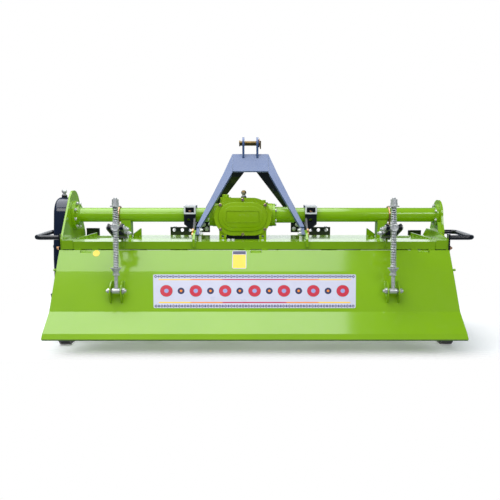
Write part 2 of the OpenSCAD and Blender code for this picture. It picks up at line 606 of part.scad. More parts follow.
// ---------------------------------------------------------------- rotor
flange_x0 = -(flange_n - 1) * flange_gap / 2;
module rotor_shaft() color(GREEN) {
    difference() {
        cx(-inner_w + 20, RY, rotor_z, 44.5, 2 * inner_w - 40);
        for (s = [-1, 1]) at_side(s) cx(30, RY, rotor_z, 34.5, inner_w - 70);
    }
    // stub journals in the bearings
    cx(-half_w - 10, RY, rotor_z, 25, 45);
    cx(inner_w - 25, RY, rotor_z, 25, 45);
}
module rotor_flanges() color(GREEN) for (i = [0:flange_n - 1]) {
    difference() {
        cx(flange_x0 + i * flange_gap - 5, RY, rotor_z, 112, 10);
        cx(flange_x0 + i * flange_gap - 6, RY, rotor_z, 44.5, 12);
        for (a = [0:60:300]) translate([0, RY, rotor_z]) rotate([a + i * 25 + 30, 0, 0]) cx(flange_x0 + i * flange_gap - 6, 0, 118, 26, 12);
    }
}
// One L-shaped blade on the +X face of its flange, pointing up and turned to +X
module blade() {
    // shank in the flange's plane, swept back
    yz(5.1, 8) polygon([[-26, 62], [22, 62], [24, 120], [18, 160], [-4, 206], [-16, 217], [-62, 205], [-44, 176], [-30, 130]]);
    // cutting leg turned along X
    translate([5.1, -16, 217]) rotate([14.6, 0, 0]) translate([0, -47.5, -8]) linear_extrude(8) polygon([[0, 0], [0, 47.4], [78, 40], [88, 20], [88, -8], [60, -10]]);
}
module blades(dir, k0) for (i = [0:flange_n - 1]) for (k = [k0:2:5])
    translate([flange_x0 + i * flange_gap, RY, rotor_z]) rotate([k * 60 + i * 25, 0, 0]) at_side(dir) blade();
module rotor_blades_a() color(GREY) blades(1, 0);
module rotor_blades_b() color(GREY) blades(-1, 1);

deck();
rear_beam();
front_beam();
side_plate_left();
side_plate_right();
deck_braces();
front_plates();
side_drive_case();
side_drive_breather();
main_tube_left();
main_tube_right();
gearbox_housing();
gearbox_cover();
gearbox_breather();
gearbox_base();
input_hub();
mast_head();
mast_rear_leg_left();
mast_rear_leg_right();
mast_front_leg_left();
mast_front_leg_right();
clevis_ear_left();
clevis_ear_right();
top_link_pin();
mast_ribs();
hitch_bracket_left();
hitch_bracket_right();
hitch_bar_left();
hitch_bar_right();
hitch_pin_left();
hitch_pin_right();
rod_ribs();
rod_forks();
u_bolts();
side_guard_left();
side_guard_right();
skid_left();
skid_right();
rotor_bearing_left();
rotor_bearing_right();
hinge_knuckles();
hinge_pins();
trailing_board();
board_end_plates();
board_lugs();
board_knuckles();
trunnion_left();
trunnion_right();
upper_spring_left();
upper_spring_right();
spring_rod_left();
spring_rod_right();
lower_spring_left();
lower_spring_right();
rotor_shaft();
rotor_flanges();
rotor_blades_a();
rotor_blades_b();
input_shaft();
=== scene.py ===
import bpy, bmesh, math, random
from mathutils import Vector, Matrix


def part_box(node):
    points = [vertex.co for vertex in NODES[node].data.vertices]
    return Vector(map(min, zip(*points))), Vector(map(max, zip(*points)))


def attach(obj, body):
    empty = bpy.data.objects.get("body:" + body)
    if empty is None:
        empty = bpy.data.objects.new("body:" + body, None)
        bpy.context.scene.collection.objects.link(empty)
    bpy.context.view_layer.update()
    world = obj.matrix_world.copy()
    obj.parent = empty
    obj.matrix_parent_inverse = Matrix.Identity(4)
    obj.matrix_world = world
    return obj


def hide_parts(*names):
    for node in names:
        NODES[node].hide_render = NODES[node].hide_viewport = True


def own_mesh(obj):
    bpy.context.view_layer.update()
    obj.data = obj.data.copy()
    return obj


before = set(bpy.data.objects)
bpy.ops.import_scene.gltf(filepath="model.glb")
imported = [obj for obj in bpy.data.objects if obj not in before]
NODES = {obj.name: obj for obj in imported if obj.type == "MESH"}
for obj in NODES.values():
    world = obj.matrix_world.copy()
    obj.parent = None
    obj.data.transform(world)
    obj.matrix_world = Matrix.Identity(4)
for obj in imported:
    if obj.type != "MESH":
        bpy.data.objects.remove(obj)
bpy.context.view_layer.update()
rnd = random.Random(7)

# ------------------------------------------------------------------ sizes, in metres, repeated from the construction
TY = 0.143; TZ = 0.632; HY = TY - 0.245; HZ = 0.466; RY = TY - 0.020; RZ = 0.238
HX = -0.020; GX = -0.060
HALF = 0.975; INNER = 0.965; DECK = 0.510
RODX = 0.660
TR = Vector((0, HY - 0.150, HZ + 0.137)); EY = Vector((0, HY - 0.178, HZ - 0.164))
ROD_UP = (TR - EY).normalized(); ROD_LEN = (TR - EY).length
FOLD = [(HY - 0.015, HZ + 0.010), (HY - 0.0857, HZ - 0.0852), (HY - 0.207, HZ - 0.258), (HY - 0.315, HZ - 0.3355), (HY - 0.333, HZ - 0.357), (HY - 0.322, HZ - 0.366)]
HEAD = Vector((HX, TY + 0.062, 0.860)); LEAN = math.atan2(0.211, 0.278)
FACE_UP = Vector((0, math.sin(LEAN), math.cos(LEAN))); FACE_N = Vector((0, -math.cos(LEAN), math.sin(LEAN)))

# ------------------------------------------------------------------ camera
cam_data = bpy.data.cameras.new("camera")
cam_data.lens = 42.98
cam_data.sensor_width = 36.0
cam = bpy.data.objects.new("camera", cam_data)
cam.location = (-0.022, TY - 3.215, 0.892)
cam.rotation_euler = (math.radians(82), 0, 0)
cam_data.clip_end = 60
bpy.context.scene.collection.objects.link(cam)
bpy.context.scene.camera = cam


# ------------------------------------------------------------------ materials
def lin(r, g, b):
    f = lambda c: c / 12.92 if c <= 0.04045 else ((c + 0.055) / 1.055) ** 2.4
    return (f(r / 255), f(g / 255), f(b / 255), 1.0)


def new_mat(name):
    m = bpy.data.materials.new(name)
    m.use_nodes = True
    nt = m.node_tree
    return m, nt, nt.nodes, nt.links, nt.nodes["Principled BSDF"]


def surface(name, col, alt, rough=0.3, rough_var=0.08, metal=0.0, coat=0.0, coat_rough=0.05, big=4.0, fine=260.0, bump=0.02, edge=0.0,
            dust=None, dust_amount=0.0, alt_amount=0.5, spec=0.5, bump_dist=0.0006, coat_ior=1.5):
    """Two near colours mixed by cloudy noise, fine bump, soft edges, and a little settled dust on faces that look up."""
    m, nt, N, L, P = new_mat(name)
    P.inputs["Metallic"].default_value = metal
    P.inputs["Coat Weight"].default_value = coat
    P.inputs["Coat Roughness"].default_value = coat_rough
    P.inputs["Coat IOR"].default_value = coat_ior
    P.inputs["Specular IOR Level"].default_value = spec
    tc = N.new("ShaderNodeTexCoord")
    n1 = N.new("ShaderNodeTexNoise"); n1.inputs["Scale"].default_value = big; n1.inputs["Detail"].default_value = 6; n1.inputs["Roughness"].default_value = 0.6
    L.new(tc.outputs["Object"], n1.inputs["Vector"])
    ramp = N.new("ShaderNodeMapRange"); ramp.inputs["From Min"].default_value = 0.35; ramp.inputs["From Max"].default_value = 0.68
    ramp.inputs["To Max"].default_value = alt_amount
    L.new(n1.outputs["Fac"], ramp.inputs["Value"])
    mix = N.new("ShaderNodeMix"); mix.data_type = "RGBA"
    mix.inputs["A"].default_value = col; mix.inputs["B"].default_value = alt
    L.new(ramp.outputs["Result"], mix.inputs["Factor"])
    out = mix.outputs["Result"]
    if dust is not None:
        geo = N.new("ShaderNodeNewGeometry")
        sep = N.new("ShaderNodeSeparateXYZ"); L.new(geo.outputs["Normal"], sep.inputs["Vector"])
        n3 = N.new("ShaderNodeTexNoise"); n3.inputs["Scale"].default_value = 23; n3.inputs["Detail"].default_value = 8
        L.new(tc.outputs["Object"], n3.inputs["Vector"])
        up = N.new("ShaderNodeMapRange"); up.inputs["From Min"].default_value = 0.3; up.inputs["From Max"].default_value = 1.0; up.inputs["To Max"].default_value = dust_amount
        L.new(sep.outputs["Z"], up.inputs["Value"])
        cl = N.new("ShaderNodeMapRange"); cl.inputs["From Min"].default_value = 0.42; cl.inputs["From Max"].default_value = 0.72
        L.new(n3.outputs["Fac"], cl.inputs["Value"])
        mul = N.new("ShaderNodeMath"); mul.operation = "MULTIPLY"
        L.new(up.outputs["Result"], mul.inputs[0]); L.new(cl.outputs["Result"], mul.inputs[1])
        md = N.new("ShaderNodeMix"); md.data_type = "RGBA"; md.inputs["B"].default_value = dust
        L.new(out, md.inputs["A"]); L.new(mul.outputs["Value"], md.inputs["Factor"])
        out = md.outputs["Result"]
    L.new(out, P.inputs["Base Color"])
    n2 = N.new("ShaderNodeTexNoise"); n2.inputs["Scale"].default_value = 9; n2.inputs["Detail"].default_value = 7
    L.new(tc.outputs["Object"], n2.inputs["Vector"])
    rr = N.new("ShaderNodeMapRange"); rr.inputs["From Min"].default_value = 0.3; rr.inputs["From Max"].default_value = 0.7
    rr.inputs["To Min"].default_value = max(0.02, rough - rough_var); rr.inputs["To Max"].default_value = rough + rough_var
    L.new(n2.outputs["Fac"], rr.inputs["Value"]); L.new(rr.outputs["Result"], P.inputs["Roughness"])
    nf = N.new("ShaderNodeTexNoise"); nf.inputs["Scale"].default_value = fine; nf.inputs["Detail"].default_value = 3
    L.new(tc.outputs["Object"], nf.inputs["Vector"])
    bp = N.new("ShaderNodeBump"); bp.inputs["Strength"].default_value = bump; bp.inputs["Distance"].default_value = bump_dist
    L.new(nf.outputs["Fac"], bp.inputs["Height"])
    if edge:
        bv = N.new("ShaderNodeBevel"); bv.samples = 4; bv.inputs["Radius"].default_value = edge
        L.new(bv.outputs["Normal"], bp.inputs["Normal"])
    L.new(bp.outputs["Normal"], P.inputs["Normal"])
    return m


GREEN = surface("green_paint", lin(127, 172, 4), lin(116, 162, 3), rough=0.42, rough_var=0.05, spec=0.12, coat=1.0, coat_ior=1.56, coat_rough=0.11, big=2.2, fine=420, bump=0.10,
                edge=0.0018, dust=lin(150, 160, 110), dust_amount=0.05, alt_amount=0.5)
GREEN_IN = surface("green_paint_inside", lin(112, 158, 12), lin(96, 140, 22), rough=0.45, coat=0.35, coat_rough=0.15, big=3, fine=300, bump=0.15, edge=0.0015,
                   dust=lin(120, 110, 80), dust_amount=0.2, alt_amount=0.6)
CAST = surface("green_casting", lin(134, 172, 8), lin(120, 158, 6), spec=0.15, rough=0.42, rough_var=0.08, coat=0.45, coat_rough=0.12, big=5, fine=170, bump=0.35,
               bump_dist=0.0008, edge=0.003, alt_amount=0.6)
SLATE = surface("slate_paint", lin(73, 96, 141), lin(61, 82, 124), rough=0.36, rough_var=0.07, coat=0.7, coat_rough=0.08, big=4, fine=380, bump=0.12,
                edge=0.0018, dust=lin(150, 155, 165), dust_amount=0.10)
BLACK = surface("black_paint", lin(10, 13, 19), lin(18, 22, 31), spec=0.2, rough=0.32, rough_var=0.10, coat=0.8, coat_rough=0.06, big=5, fine=330, bump=0.12,
                edge=0.0018, dust=lin(95, 98, 100), dust_amount=0.12)
# painted reflection: the blue in this black stands in for the sky reflected on the side case
CASEBLACK = surface("case_black", lin(9, 21, 44), lin(16, 32, 62), spec=0.2, rough=0.28, rough_var=0.08, coat=0.9, coat_rough=0.05, big=3, fine=240, bump=0.12,
                    edge=0.005)
SKID = surface("skid_black", lin(24, 25, 27), lin(62, 55, 46), rough=0.5, rough_var=0.15, coat=0.25, coat_rough=0.2, big=11, fine=200, bump=0.2, edge=0.002,
               dust=lin(120, 110, 90), dust_amount=0.25, alt_amount=0.45)
ZINC = surface("bright_zinc", lin(214, 216, 214), lin(176, 178, 178), rough=0.26, rough_var=0.10, metal=0.42, coat=0.4, big=40, fine=600, bump=0.10, edge=0.0008, alt_amount=0.7)
SPRING = surface("spring_zinc", lin(232, 234, 233), lin(196, 199, 202), rough=0.24, rough_var=0.08, metal=0.45, coat=0.5, big=60, fine=500, bump=0.15, alt_amount=0.8)
# painted shade: dark colour for the rod inside the springs, standing in for the shade between the coils
ROD_SHADE = surface("rod_painted_shade", lin(52, 56, 68), lin(84, 88, 98), rough=0.38, rough_var=0.10, metal=0.5, coat=0.3, big=60, fine=500, bump=0.1, alt_amount=0.8)
BRONZE = surface("bronzed_pin", lin(128, 106, 62), lin(88, 74, 48), rough=0.35, rough_var=0.1, metal=0.9, big=40, fine=500, bump=0.1, edge=0.0008, alt_amount=0.8)
PINK = surface("passivated_zinc", lin(226, 190, 176), lin(210, 190, 150), rough=0.34, rough_var=0.08, metal=1.0, big=55, fine=500, bump=0.10, edge=0.0008, alt_amount=0.8)
COPPER = surface("yellow_zinc", lin(214, 164, 120), lin(190, 150, 128), rough=0.33, rough_var=0.08, metal=1.0, big=35, fine=500, bump=0.10, edge=0.0006, alt_amount=0.8)
STEEL = surface("blade_steel", lin(70, 78, 92), lin(46, 50, 60), rough=0.42, rough_var=0.12, metal=0.75, big=14, fine=150, bump=0.30, edge=0.0012,
                dust=lin(120, 104, 84), dust_amount=0.15, alt_amount=0.8)
BARE = surface("ground_steel", lin(168, 170, 172), lin(130, 132, 136), rough=0.30, rough_var=0.10, metal=1.0, big=30, fine=420, bump=0.12, edge=0.0008, alt_amount=0.7)
WELD = surface("painted_weld", lin(132, 182, 30), lin(112, 160, 20), rough=0.34, coat=0.8, coat_rough=0.05, big=30, fine=300, bump=0.3)
WELD_GREY = surface("painted_weld_grey", lin(112, 128, 160), lin(90, 106, 140), rough=0.34, coat=0.8, coat_rough=0.05, big=30, fine=300, bump=0.3)
# painted highlight: near-white colour standing in for light caught on the rims of the clamp mouths
CLAMP_RIM_HIGHLIGHT = surface("painted_highlight_rim", lin(226, 228, 232), lin(200, 203, 208), rough=0.3, rough_var=0.08, metal=0.15, coat=0.3, big=20, fine=300, bump=0.08, edge=0.0012)
RUBBER = surface("black_rubber", lin(16, 16, 17), lin(28, 28, 29), rough=0.7, rough_var=0.08, big=20, fine=420, bump=0.3)
OILCAP = surface("black_cap", lin(14, 16, 20), lin(30, 36, 48), rough=0.25, rough_var=0.06, coat=0.6, big=30, fine=300, bump=0.08, edge=0.001)


def film(name, col, alt=None, rough=0.32):
    return surface(name, col, alt or tuple(c * 0.93 for c in col[:3]) + (1,), rough=rough, rough_var=0.05, coat=0.5, coat_rough=0.08, big=25, fine=500, bump=0.05)


F_GROUND = film("film_ground", lin(202, 202, 218), lin(194, 194, 212))
F_NAVY = film("film_navy", lin(34, 40, 84))
F_RED = film("film_red", lin(196, 40, 60), lin(186, 32, 54))
F_ORANGE = film("film_orange", lin(240, 138, 20))
F_YELLOW = film("film_yellow", lin(250, 208, 28), lin(244, 196, 22))
F_PINK = film("film_pink", lin(238, 150, 160))
F_PALE = film("film_pale_blue", lin(150, 158, 206))
F_GREY = film("film_grey", lin(120, 122, 140))
F_CYAN = film("film_pale_edge", lin(176, 208, 222))


# ------------------------------------------------------------------ mesh building
def frame_to(p, axis, spin=0.0):
    """Matrix that puts local Z along axis at point p."""
    z = Vector(axis).normalized()
    x = Vector((0, 0, 1)).cross(z)
    if x.length < 1e-4:
        x = Vector((1, 0, 0))
    x.normalize()
    y = z.cross(x)
    m = Matrix((x, y, z)).transposed().to_4x4()
    m.translation = Vector(p)
    return m @ Matrix.Rotation(spin, 4, "Z")


class Mb:
    def __init__(self):
        self.v, self.f, self.m = [], [], []

    def add(self, vs, fs, mi=0):
        n = len(self.v)
        self.v += [tuple(v) for v in vs]
        self.f += [tuple(i + n for i in f) for f in fs]
        self.m += [mi] * len(fs)

    def lathe(self, M, prof, n=24, mi=0, spin=0.0):
        vs, rings, fs = [], [], []
        for r, z in prof:
            if r < 1e-7:
                rings.append([len(vs)]); vs.append(M @ Vector((0, 0, z)))
            else:
                ring = []
                for k in range(n):
                    a = spin + 2 * math.pi * k / n
                    ring.append(len(vs)); vs.append(M @ Vector((r * math.cos(a), r * math.sin(a), z)))
                rings.append(ring)
        for a, b in zip(rings, rings[1:]):
            for k in range(n):
                k2 = (k + 1) % n
                if len(a) == 1 and len(b) == 1:
                    continue
                if len(a) == 1:
                    fs.append((a[0], b[k2], b[k]))
                elif len(b) == 1:
                    fs.append((a[k], a[k2], b[0]))
                else:
                    fs.append((a[k], a[k2], b[k2], b[k]))
        self.add(vs, fs, mi)

    def cyl(self, M, r, z0, z1, n=24, mi=0, ch=None):
        c = min(r * 0.15, (z1 - z0) * 0.3) if ch is None else ch
        self.lathe(M, [(0, z0), (r - c, z0), (r, z0 + c), (r, z1 - c), (r - c, z1), (0, z1)], n, mi)

    def ring(self, M, r0, r1, z0, z1, n=28, mi=0):
        c = min((r1 - r0) * 0.2, (z1 - z0) * 0.2)
        pr = [(r0, z0), (r1 - c, z0), (r1, z0 + c), (r1, z1 - c), (r1 - c, z1), (r0, z1), (r0, z0)]
        vs, fs = [], []
        for j, (r, z) in enumerate(pr[:-1]):
            for k in range(n):
                a = 2 * math.pi * k / n
                vs.append(M @ Vector((r * math.cos(a), r * math.sin(a), z)))
        J = len(pr) - 1
        for j in range(J):
            for k in range(n):
                k2 = (k + 1) % n; j2 = (j + 1) % J
                fs.append((j * n + k, j * n + k2, j2 * n + k2, j2 * n + k))
        self.add(vs, fs, mi)

    def prism(self, M, poly, z0, z1, mi=0):
        n = len(poly)
        vs = [M @ Vector((x, y, z0)) for x, y in poly] + [M @ Vector((x, y, z1)) for x, y in poly]
        fs = [tuple(range(n - 1, -1, -1)), tuple(range(n, 2 * n))] + [(k, (k + 1) % n, n + (k + 1) % n, n + k) for k in range(n)]
        self.add(vs, fs, mi)

    def hull(self, pts, mi=0):
        bm = bmesh.new()
        for p in pts:
            bm.verts.new(p)
        r = bmesh.ops.convex_hull(bm, input=bm.verts)
        loose = [v for v in bm.verts if not v.link_faces]
        bmesh.ops.delete(bm, geom=loose, context="VERTS")
        bmesh.ops.dissolve_limit(bm, angle_limit=0.01, verts=bm.verts[:], edges=bm.edges[:])
        bm.verts.index_update()
        self.add([v.co.copy() for v in bm.verts], [[v.index for v in f.verts] for f in bm.faces], mi)
        bm.free()

    def block(self, M, a, b, c=0.0015, mi=0):
        """Box from a to b with chamfered edges."""
        pts = []
        for sx in (0, 1):
            for sy in (0, 1):
                for sz in (0, 1):
                    s = (sx, sy, sz)
                    base = [(a[i], b[i])[s[i]] for i in range(3)]
                    inn = [base[i] + (c if s[i] == 0 else -c) for i in range(3)]
                    for ax in range(3):
                        p = list(inn); p[ax] = base[ax]
                        pts.append(M @ Vector(p))
        self.hull(pts, mi)

    def tube(self, path, r, n=10, closed=False, mi=0, caps=True, taper=None):
        P = [Vector(p) for p in path]; N = len(P)
        T = []
        for i in range(N):
            a = P[(i - 1) % N] if (closed or i > 0) else P[i]
            b = P[(i + 1) % N] if (closed or i < N - 1) else P[i]
            T.append((b - a).normalized())
        u = T[0].orthogonal().normalized()
        vs, fs = [], []
        for i in range(N):
            u = (u - T[i] * u.dot(T[i])).normalized(); w = T[i].cross(u)
            rr = r * (taper[i] if taper else 1)
            for k in range(n):
                a = 2 * math.pi * k / n
                vs.append(P[i] + rr * (u * math.cos(a) + w * math.sin(a)))
        for i in range(N if closed else N - 1):
            j = (i + 1) % N
            off = 0
            if closed and j == 0:
                best = min(range(n), key=lambda q: (vs[i * n] - vs[q]).length)
                off = best
            for k in range(n):
                fs.append((i * n + k, i * n + (k + 1) % n, j * n + (k + 1 + off) % n, j * n + (k + off) % n))
        if caps and not closed:
            fs.append(tuple(range(n - 1, -1, -1))); fs.append(tuple((N - 1) * n + k for k in range(n)))
        self.add(vs, fs, mi)

    def bolt(self, p, ax, s=0.009, h=0.007, wash=1.9, stud=0.0, mi=0, mw=None, spin=None, dome=False):
        """Hex head of corner radius s and height h on a washer; stud > 0 adds a thread end through it."""
        M = frame_to(p, ax, spin if spin is not None else rnd.random() * 1.0)
        z = 0.0
        if wash:
            z = s * 0.22
            self.cyl(M, s * wash * 0.62, 0, z, 18, mi if mw is None else mw, ch=z * 0.3)
        self.lathe(M, [(0, z), (s * 0.96, z), (s, z + h * 0.12), (s, z + h * 0.78), (s * 0.88, z + h), (0, z + h)], 6, mi)
        if dome:
            self.lathe(M, [(0, z + h), (s * 0.8, z + h), (s * 0.62, z + h * 1.35), (0, z + h * 1.5)], 16, mi)
        if stud:
            self.lathe(M, [(0, z + h), (s * 0.55, z + h), (s * 0.55, z + h + stud * 0.8), (s * 0.42, z + h + stud), (0, z + h + stud)], 14, mi)

    def weld(self, a, b, r=0.0035, step=0.005, mi=0, gap=None, seed=0):
        """A bead of overlapping ripples from a to b; gap=(on, off) makes stitches."""
        a, b = Vector(a), Vector(b); L = (b - a).length; d = (b - a) / L
        runs = [(0, L)] if gap is None else [(s0, min(s0 + gap[0], L)) for s0 in [i * (gap[0] + gap[1]) for i in range(int(L / (gap[0] + gap[1])) + 1)] if s0 < L - 0.004]
        for s0, s1 in runs:
            k = max(3, int((s1 - s0) / step * 2))
            path, tp = [], []
            for i in range(k + 1):
                t = i / k
                path.append(a + d * (s0 + (s1 - s0) * t))
                e = min(1, min(t, 1 - t) * k / 2.2 + 0.35)
                tp.append(e * (1.0 if i % 2 else 0.82) * (0.94 + 0.1 * rnd.random()))
            self.tube(path, r, 8, mi=mi, taper=tp)

    def make(self, name, mats, body, sharp=32, smooth=True):
        me = bpy.data.meshes.new(name)
        me.from_pydata(self.v, [], self.f)
        for m in (mats if isinstance(mats, (list, tuple)) else [mats]):
            me.materials.append(m)
        me.polygons.foreach_set("material_index", self.m)
        bm = bmesh.new(); bm.from_mesh(me)
        bmesh.ops.recalc_face_normals(bm, faces=bm.faces)
        bm.to_mesh(me); bm.free()
        me.polygons.foreach_set("use_smooth", [smooth] * len(me.polygons))
        if smooth:
            me.set_sharp_from_angle(angle=math.radians(sharp))
        me.update()
        o = bpy.data.objects.new(name, me)
        bpy.context.scene.collection.objects.link(o)
        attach(o, body)
        return o


I4 = Matrix.Identity(4)
MIRX = lambda s: (lambda v: Vector((s * v[0], v[1], v[2])))

# ------------------------------------------------------------------ finish of the construction's own pieces
GREEN_NODES = ["rear_beam", "side_plate_left", "side_plate_right", "deck_braces", "main_tube_left", "main_tube_right", "mast_ribs", "rod_ribs",
               "hinge_knuckles", "trailing_board", "board_end_plates", "board_lugs", "board_knuckles", "deck", "front_beam"]
CAST_NODES = ["gearbox_housing", "gearbox_cover", "input_hub", "rotor_bearing_left", "rotor_bearing_right"]
ASSIGN = {n: GREEN for n in GREEN_NODES}
ASSIGN.update({n: CAST for n in CAST_NODES})
ASSIGN.update({n: GREEN_IN for n in ["rotor_shaft", "rotor_flanges"]})
ASSIGN.update({n: SLATE for n in ["mast_head", "mast_rear_leg_left", "mast_rear_leg_right", "clevis_ear_left", "clevis_ear_right"]})
ASSIGN.update({n: BLACK for n in ["gearbox_base", "mast_front_leg_left", "mast_front_leg_right", "hitch_bracket_left", "hitch_bracket_right", "hitch_bar_left",
                                  "hitch_bar_right", "rod_forks", "side_guard_left", "side_guard_right", "front_plates"]})
ASSIGN.update({n: SKID for n in ["skid_left", "skid_right"]})
ASSIGN["side_drive_case"] = CASEBLACK
ASSIGN.update({n: ZINC for n in ["top_link_pin", "hitch_pin_left", "hitch_pin_right", "hinge_pins", "trunnion_left", "trunnion_right", "spring_rod_left", "spring_rod_right"]})
ASSIGN["u_bolts"] = COPPER
ASSIGN["top_link_pin"] = BRONZE
ASSIGN["input_shaft"] = BARE
ASSIGN.update({n: STEEL for n in ["rotor_blades_a", "rotor_blades_b"]})
ASSIGN.update({n: ZINC for n in ["side_drive_breather", "gearbox_breather", "upper_spring_left", "upper_spring_right", "lower_spring_left", "lower_spring_right"]})
for n, o in NODES.items():
    m = ASSIGN.get(n, GREEN)
    if not o.material_slots:
        o.data.materials.append(m)
    for sl in o.material_slots:
        sl.material = m
    o.data.polygons.foreach_set("use_smooth", [True] * len(o.data.polygons))
    o.data.set_sharp_from_angle(angle=math.radians(28))

# ------------------------------------------------------------------ springs
def helix(p0, up, r, length, turns, wire, n=16, seg=8):
    """Points of a spring with closed ends, from p0 along up."""
    x = Vector((1, 0, 0)); y = up.cross(x).normalized()
    pts = []
    tot = int(turns * n)
    dead = 1.1
    for i in range(tot + 1):
        t = i / n
        if t < dead:
            z = wire * 0.5 + wire * 0.9 * t / dead * 1.0
        elif t > turns - dead:
            z = length - wire * 0.5 - wire * 0.9 * (turns - t) / dead
        else:
            u = (t - dead) / (turns - 2 * dead)
            z = wire * 1.4 + (length - wire * 2.8) * u
        a = 2 * math.pi * t
        pts.append(p0 + up * z + r * (x * math.cos(a) + y * math.sin(a)))
    return pts


for side, s in (("left", -1), ("right", 1)):
    body = "trunnion_l" if s < 0 else "trunnion_r"
    T = Vector((s * RODX, TR.y, TR.z))
    b = Mb()
    b.tube(helix(T + ROD_UP * -0.1898, ROD_UP, 0.0122, 0.1703, 22, 0.0052, 16), 0.0025, 8)
    o = b.make(f"coil_lower_{side}", SPRING, body, sharp=60)
    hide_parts(f"lower_spring_{side}")
    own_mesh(o)
    b = Mb()
    b.tube(helix(T + ROD_UP * 0.0195, ROD_UP, 0.0122, 0.0783, 9.5, 0.0052, 16), 0.0025, 8)
    o = b.make(f"coil_upper_{side}", SPRING, body, sharp=60)
    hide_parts(f"upper_spring_{side}")
    # collars of the trunnion and its round ends
    b = Mb()
    Mr = frame_to(T, ROD_UP)
    b.ring(Mr, 0.0092, 0.0165, 0.0160, 0.0195, 28)
    b.ring(Mr, 0.0092, 0.0165, -0.0195, -0.0160, 28)
    for q in (-1, 1):
        Mx = frame_to(T + Vector((q * 0.0365, 0, 0)), (q, 0, 0))
        b.lathe(Mx, [(0, 0.0012), (0.0118, 0.0012), (0.0128, 0.0025), (0.0128, 0.0050), (0.010, 0.0066), (0, 0.0066)], 24)
    fwd = Vector((1, 0, 0)).cross(ROD_UP).normalized()
    Mf = frame_to(T - fwd * 0.0180 if fwd.y > 0 else T + fwd * 0.0180, (-fwd if fwd.y > 0 else fwd))
    b.lathe(Mf, [(0, 0.0004), (0.0120, 0.0004), (0.0135, 0.0016), (0.0150, 0.0022), (0.0178, 0.0016), (0.0188, -0.0008)], 8, spin=math.pi / 8)
    b.make(f"trunnion_trim_{side}", ZINC, body)
    # cap at the upper rod's end, a ring at its nuts, and rings standing for thread with a nut ring near the lower
    # end, moving with the rod
    rb = "rod_l" if s < 0 else "rod_r"
    b = Mb()
    Mt = frame_to(T, ROD_UP)
    z = 0.0
    pts = []
    for i in range(16 * 12 + 1):
        a = 2 * math.pi * i / 12
        x = Vector((1, 0, 0)); y = ROD_UP.cross(x).normalized()
        pts.append(T + ROD_UP * (0.1342 + 0.0058 * i / (16 * 12)) + 0.0088 * (x * math.cos(a) + y * math.sin(a)))
    b.lathe(Mt, [(0, 0.1400), (0.0078, 0.1400), (0.0068, 0.1416), (0, 0.1418)], 20)
    b.ring(Mt, 0.0092, 0.0145, 0.1180, 0.1192, 24)
    zz = -0.2960
    while zz < -0.2200:
        b.ring(Mt, 0.0088, 0.00945, zz, zz + 0.0012, 20)
        zz += 0.0025
    b.ring(Mt, 0.0090, 0.0165, -0.2285, -0.2180, 6)
    # end plates of the cross sleeve's bolt
    L = Vector((s * RODX, EY.y, EY.z))
    for q in (-1, 1):
        Mx = frame_to(L + Vector((q * 0.0411, 0, 0)), (q, 0, 0))
        b.lathe(Mx, [(0, 0), (0.0072, 0), (0.0072, 0.006), (0.0058, 0.0075), (0, 0.0075)], 18)
    b.make(f"rod_trim_{side}", ZINC, rb)
    # painted shade: dark sleeve on the rod where the springs run, standing in for the shade between the coils
    b = Mb()
    b.ring(Mt, 0.0086, 0.00904, 0.0200, 0.0970, 32)
    b.ring(Mt, 0.0086, 0.00904, -0.1890, -0.0200, 32)
    b.make(f"rod_shade_sleeve_{side}", ROD_SHADE, rb)

# ------------------------------------------------------------------ breathers
def breather(name, p, node, cap=ZINC):
    b = Mb()
    M = Matrix.Translation(p)
    b.lathe(M, [(0, 0), (0.0145, 0), (0.0150, 0.004), (0.0145, 0.010), (0.0105, 0.015), (0, 0.015)], 26, mi=1)
    b.lathe(M, [(0, 0.0150), (0.0095, 0.0150), (0.0100, 0.0160), (0.0100, 0.0190), (0.0085, 0.0200), (0, 0.0200)], 6, mi=0)
    prof = [(0, 0.0200), (0.0065, 0.0200)]
    for i in range(13):
        a = -0.95 + (math.pi / 2 + 0.95) * i / 12
        prof.append((0.0138 * math.cos(a), 0.0318 + 0.0130 * math.sin(a)))
    prof[-1] = (0, 0.0448)
    b.lathe(M, prof, 28, mi=2)
    b.ring(M @ Matrix.Translation((0, 0, 0.0300)), 0.0134, 0.0142, -0.0010, 0.0010, 28, mi=0)
    o = b.make(name, [ZINC, OILCAP, cap], "frame")
    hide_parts(node)
    return o


lo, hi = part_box("gearbox_breather")
breather("vent_gearbox", (GX + 0.005, TY - 0.050, 0.7215), "gearbox_breather", BRONZE)
breather("vent_side_case", (-1.018, TY, TZ + 0.0945), "side_drive_breather")

# ------------------------------------------------------------------ gearbox trim
b = Mb()
yb = TY - 0.104
for dx, dz in ((0, 0.0895), (-0.117, 0.0614), (0.117, 0.0614), (-0.117, -0.067), (0.117, -0.067), (0, -0.0932)):
    b.bolt((GX + dx, yb, 0.630 + dz), (0, -1, 0), s=0.0088, h=0.0062, wash=1.6)
b.make("cover_bolts", PINK, "frame")


def stadium(w, h, n=24):
    r = h / 2; c = (w - h) / 2
    out = []
    for i in range(n + 1):
        a = -math.pi / 2 + math.pi * i / n
        out.append((c + r * math.cos(a), r * math.sin(a)))
    for i in range(n + 1):
        a = math.pi / 2 + math.pi * i / n
        out.append((-c + r * math.cos(a), r * math.sin(a)))
    return out


b = Mb()
MY = Matrix(((1, 0, 0, GX), (0, 0, 1, TY - 0.110), (0, 1, 0, 0.630), (0, 0, 0, 1)))  # local (x, y) = (X, Z), local z = +Y


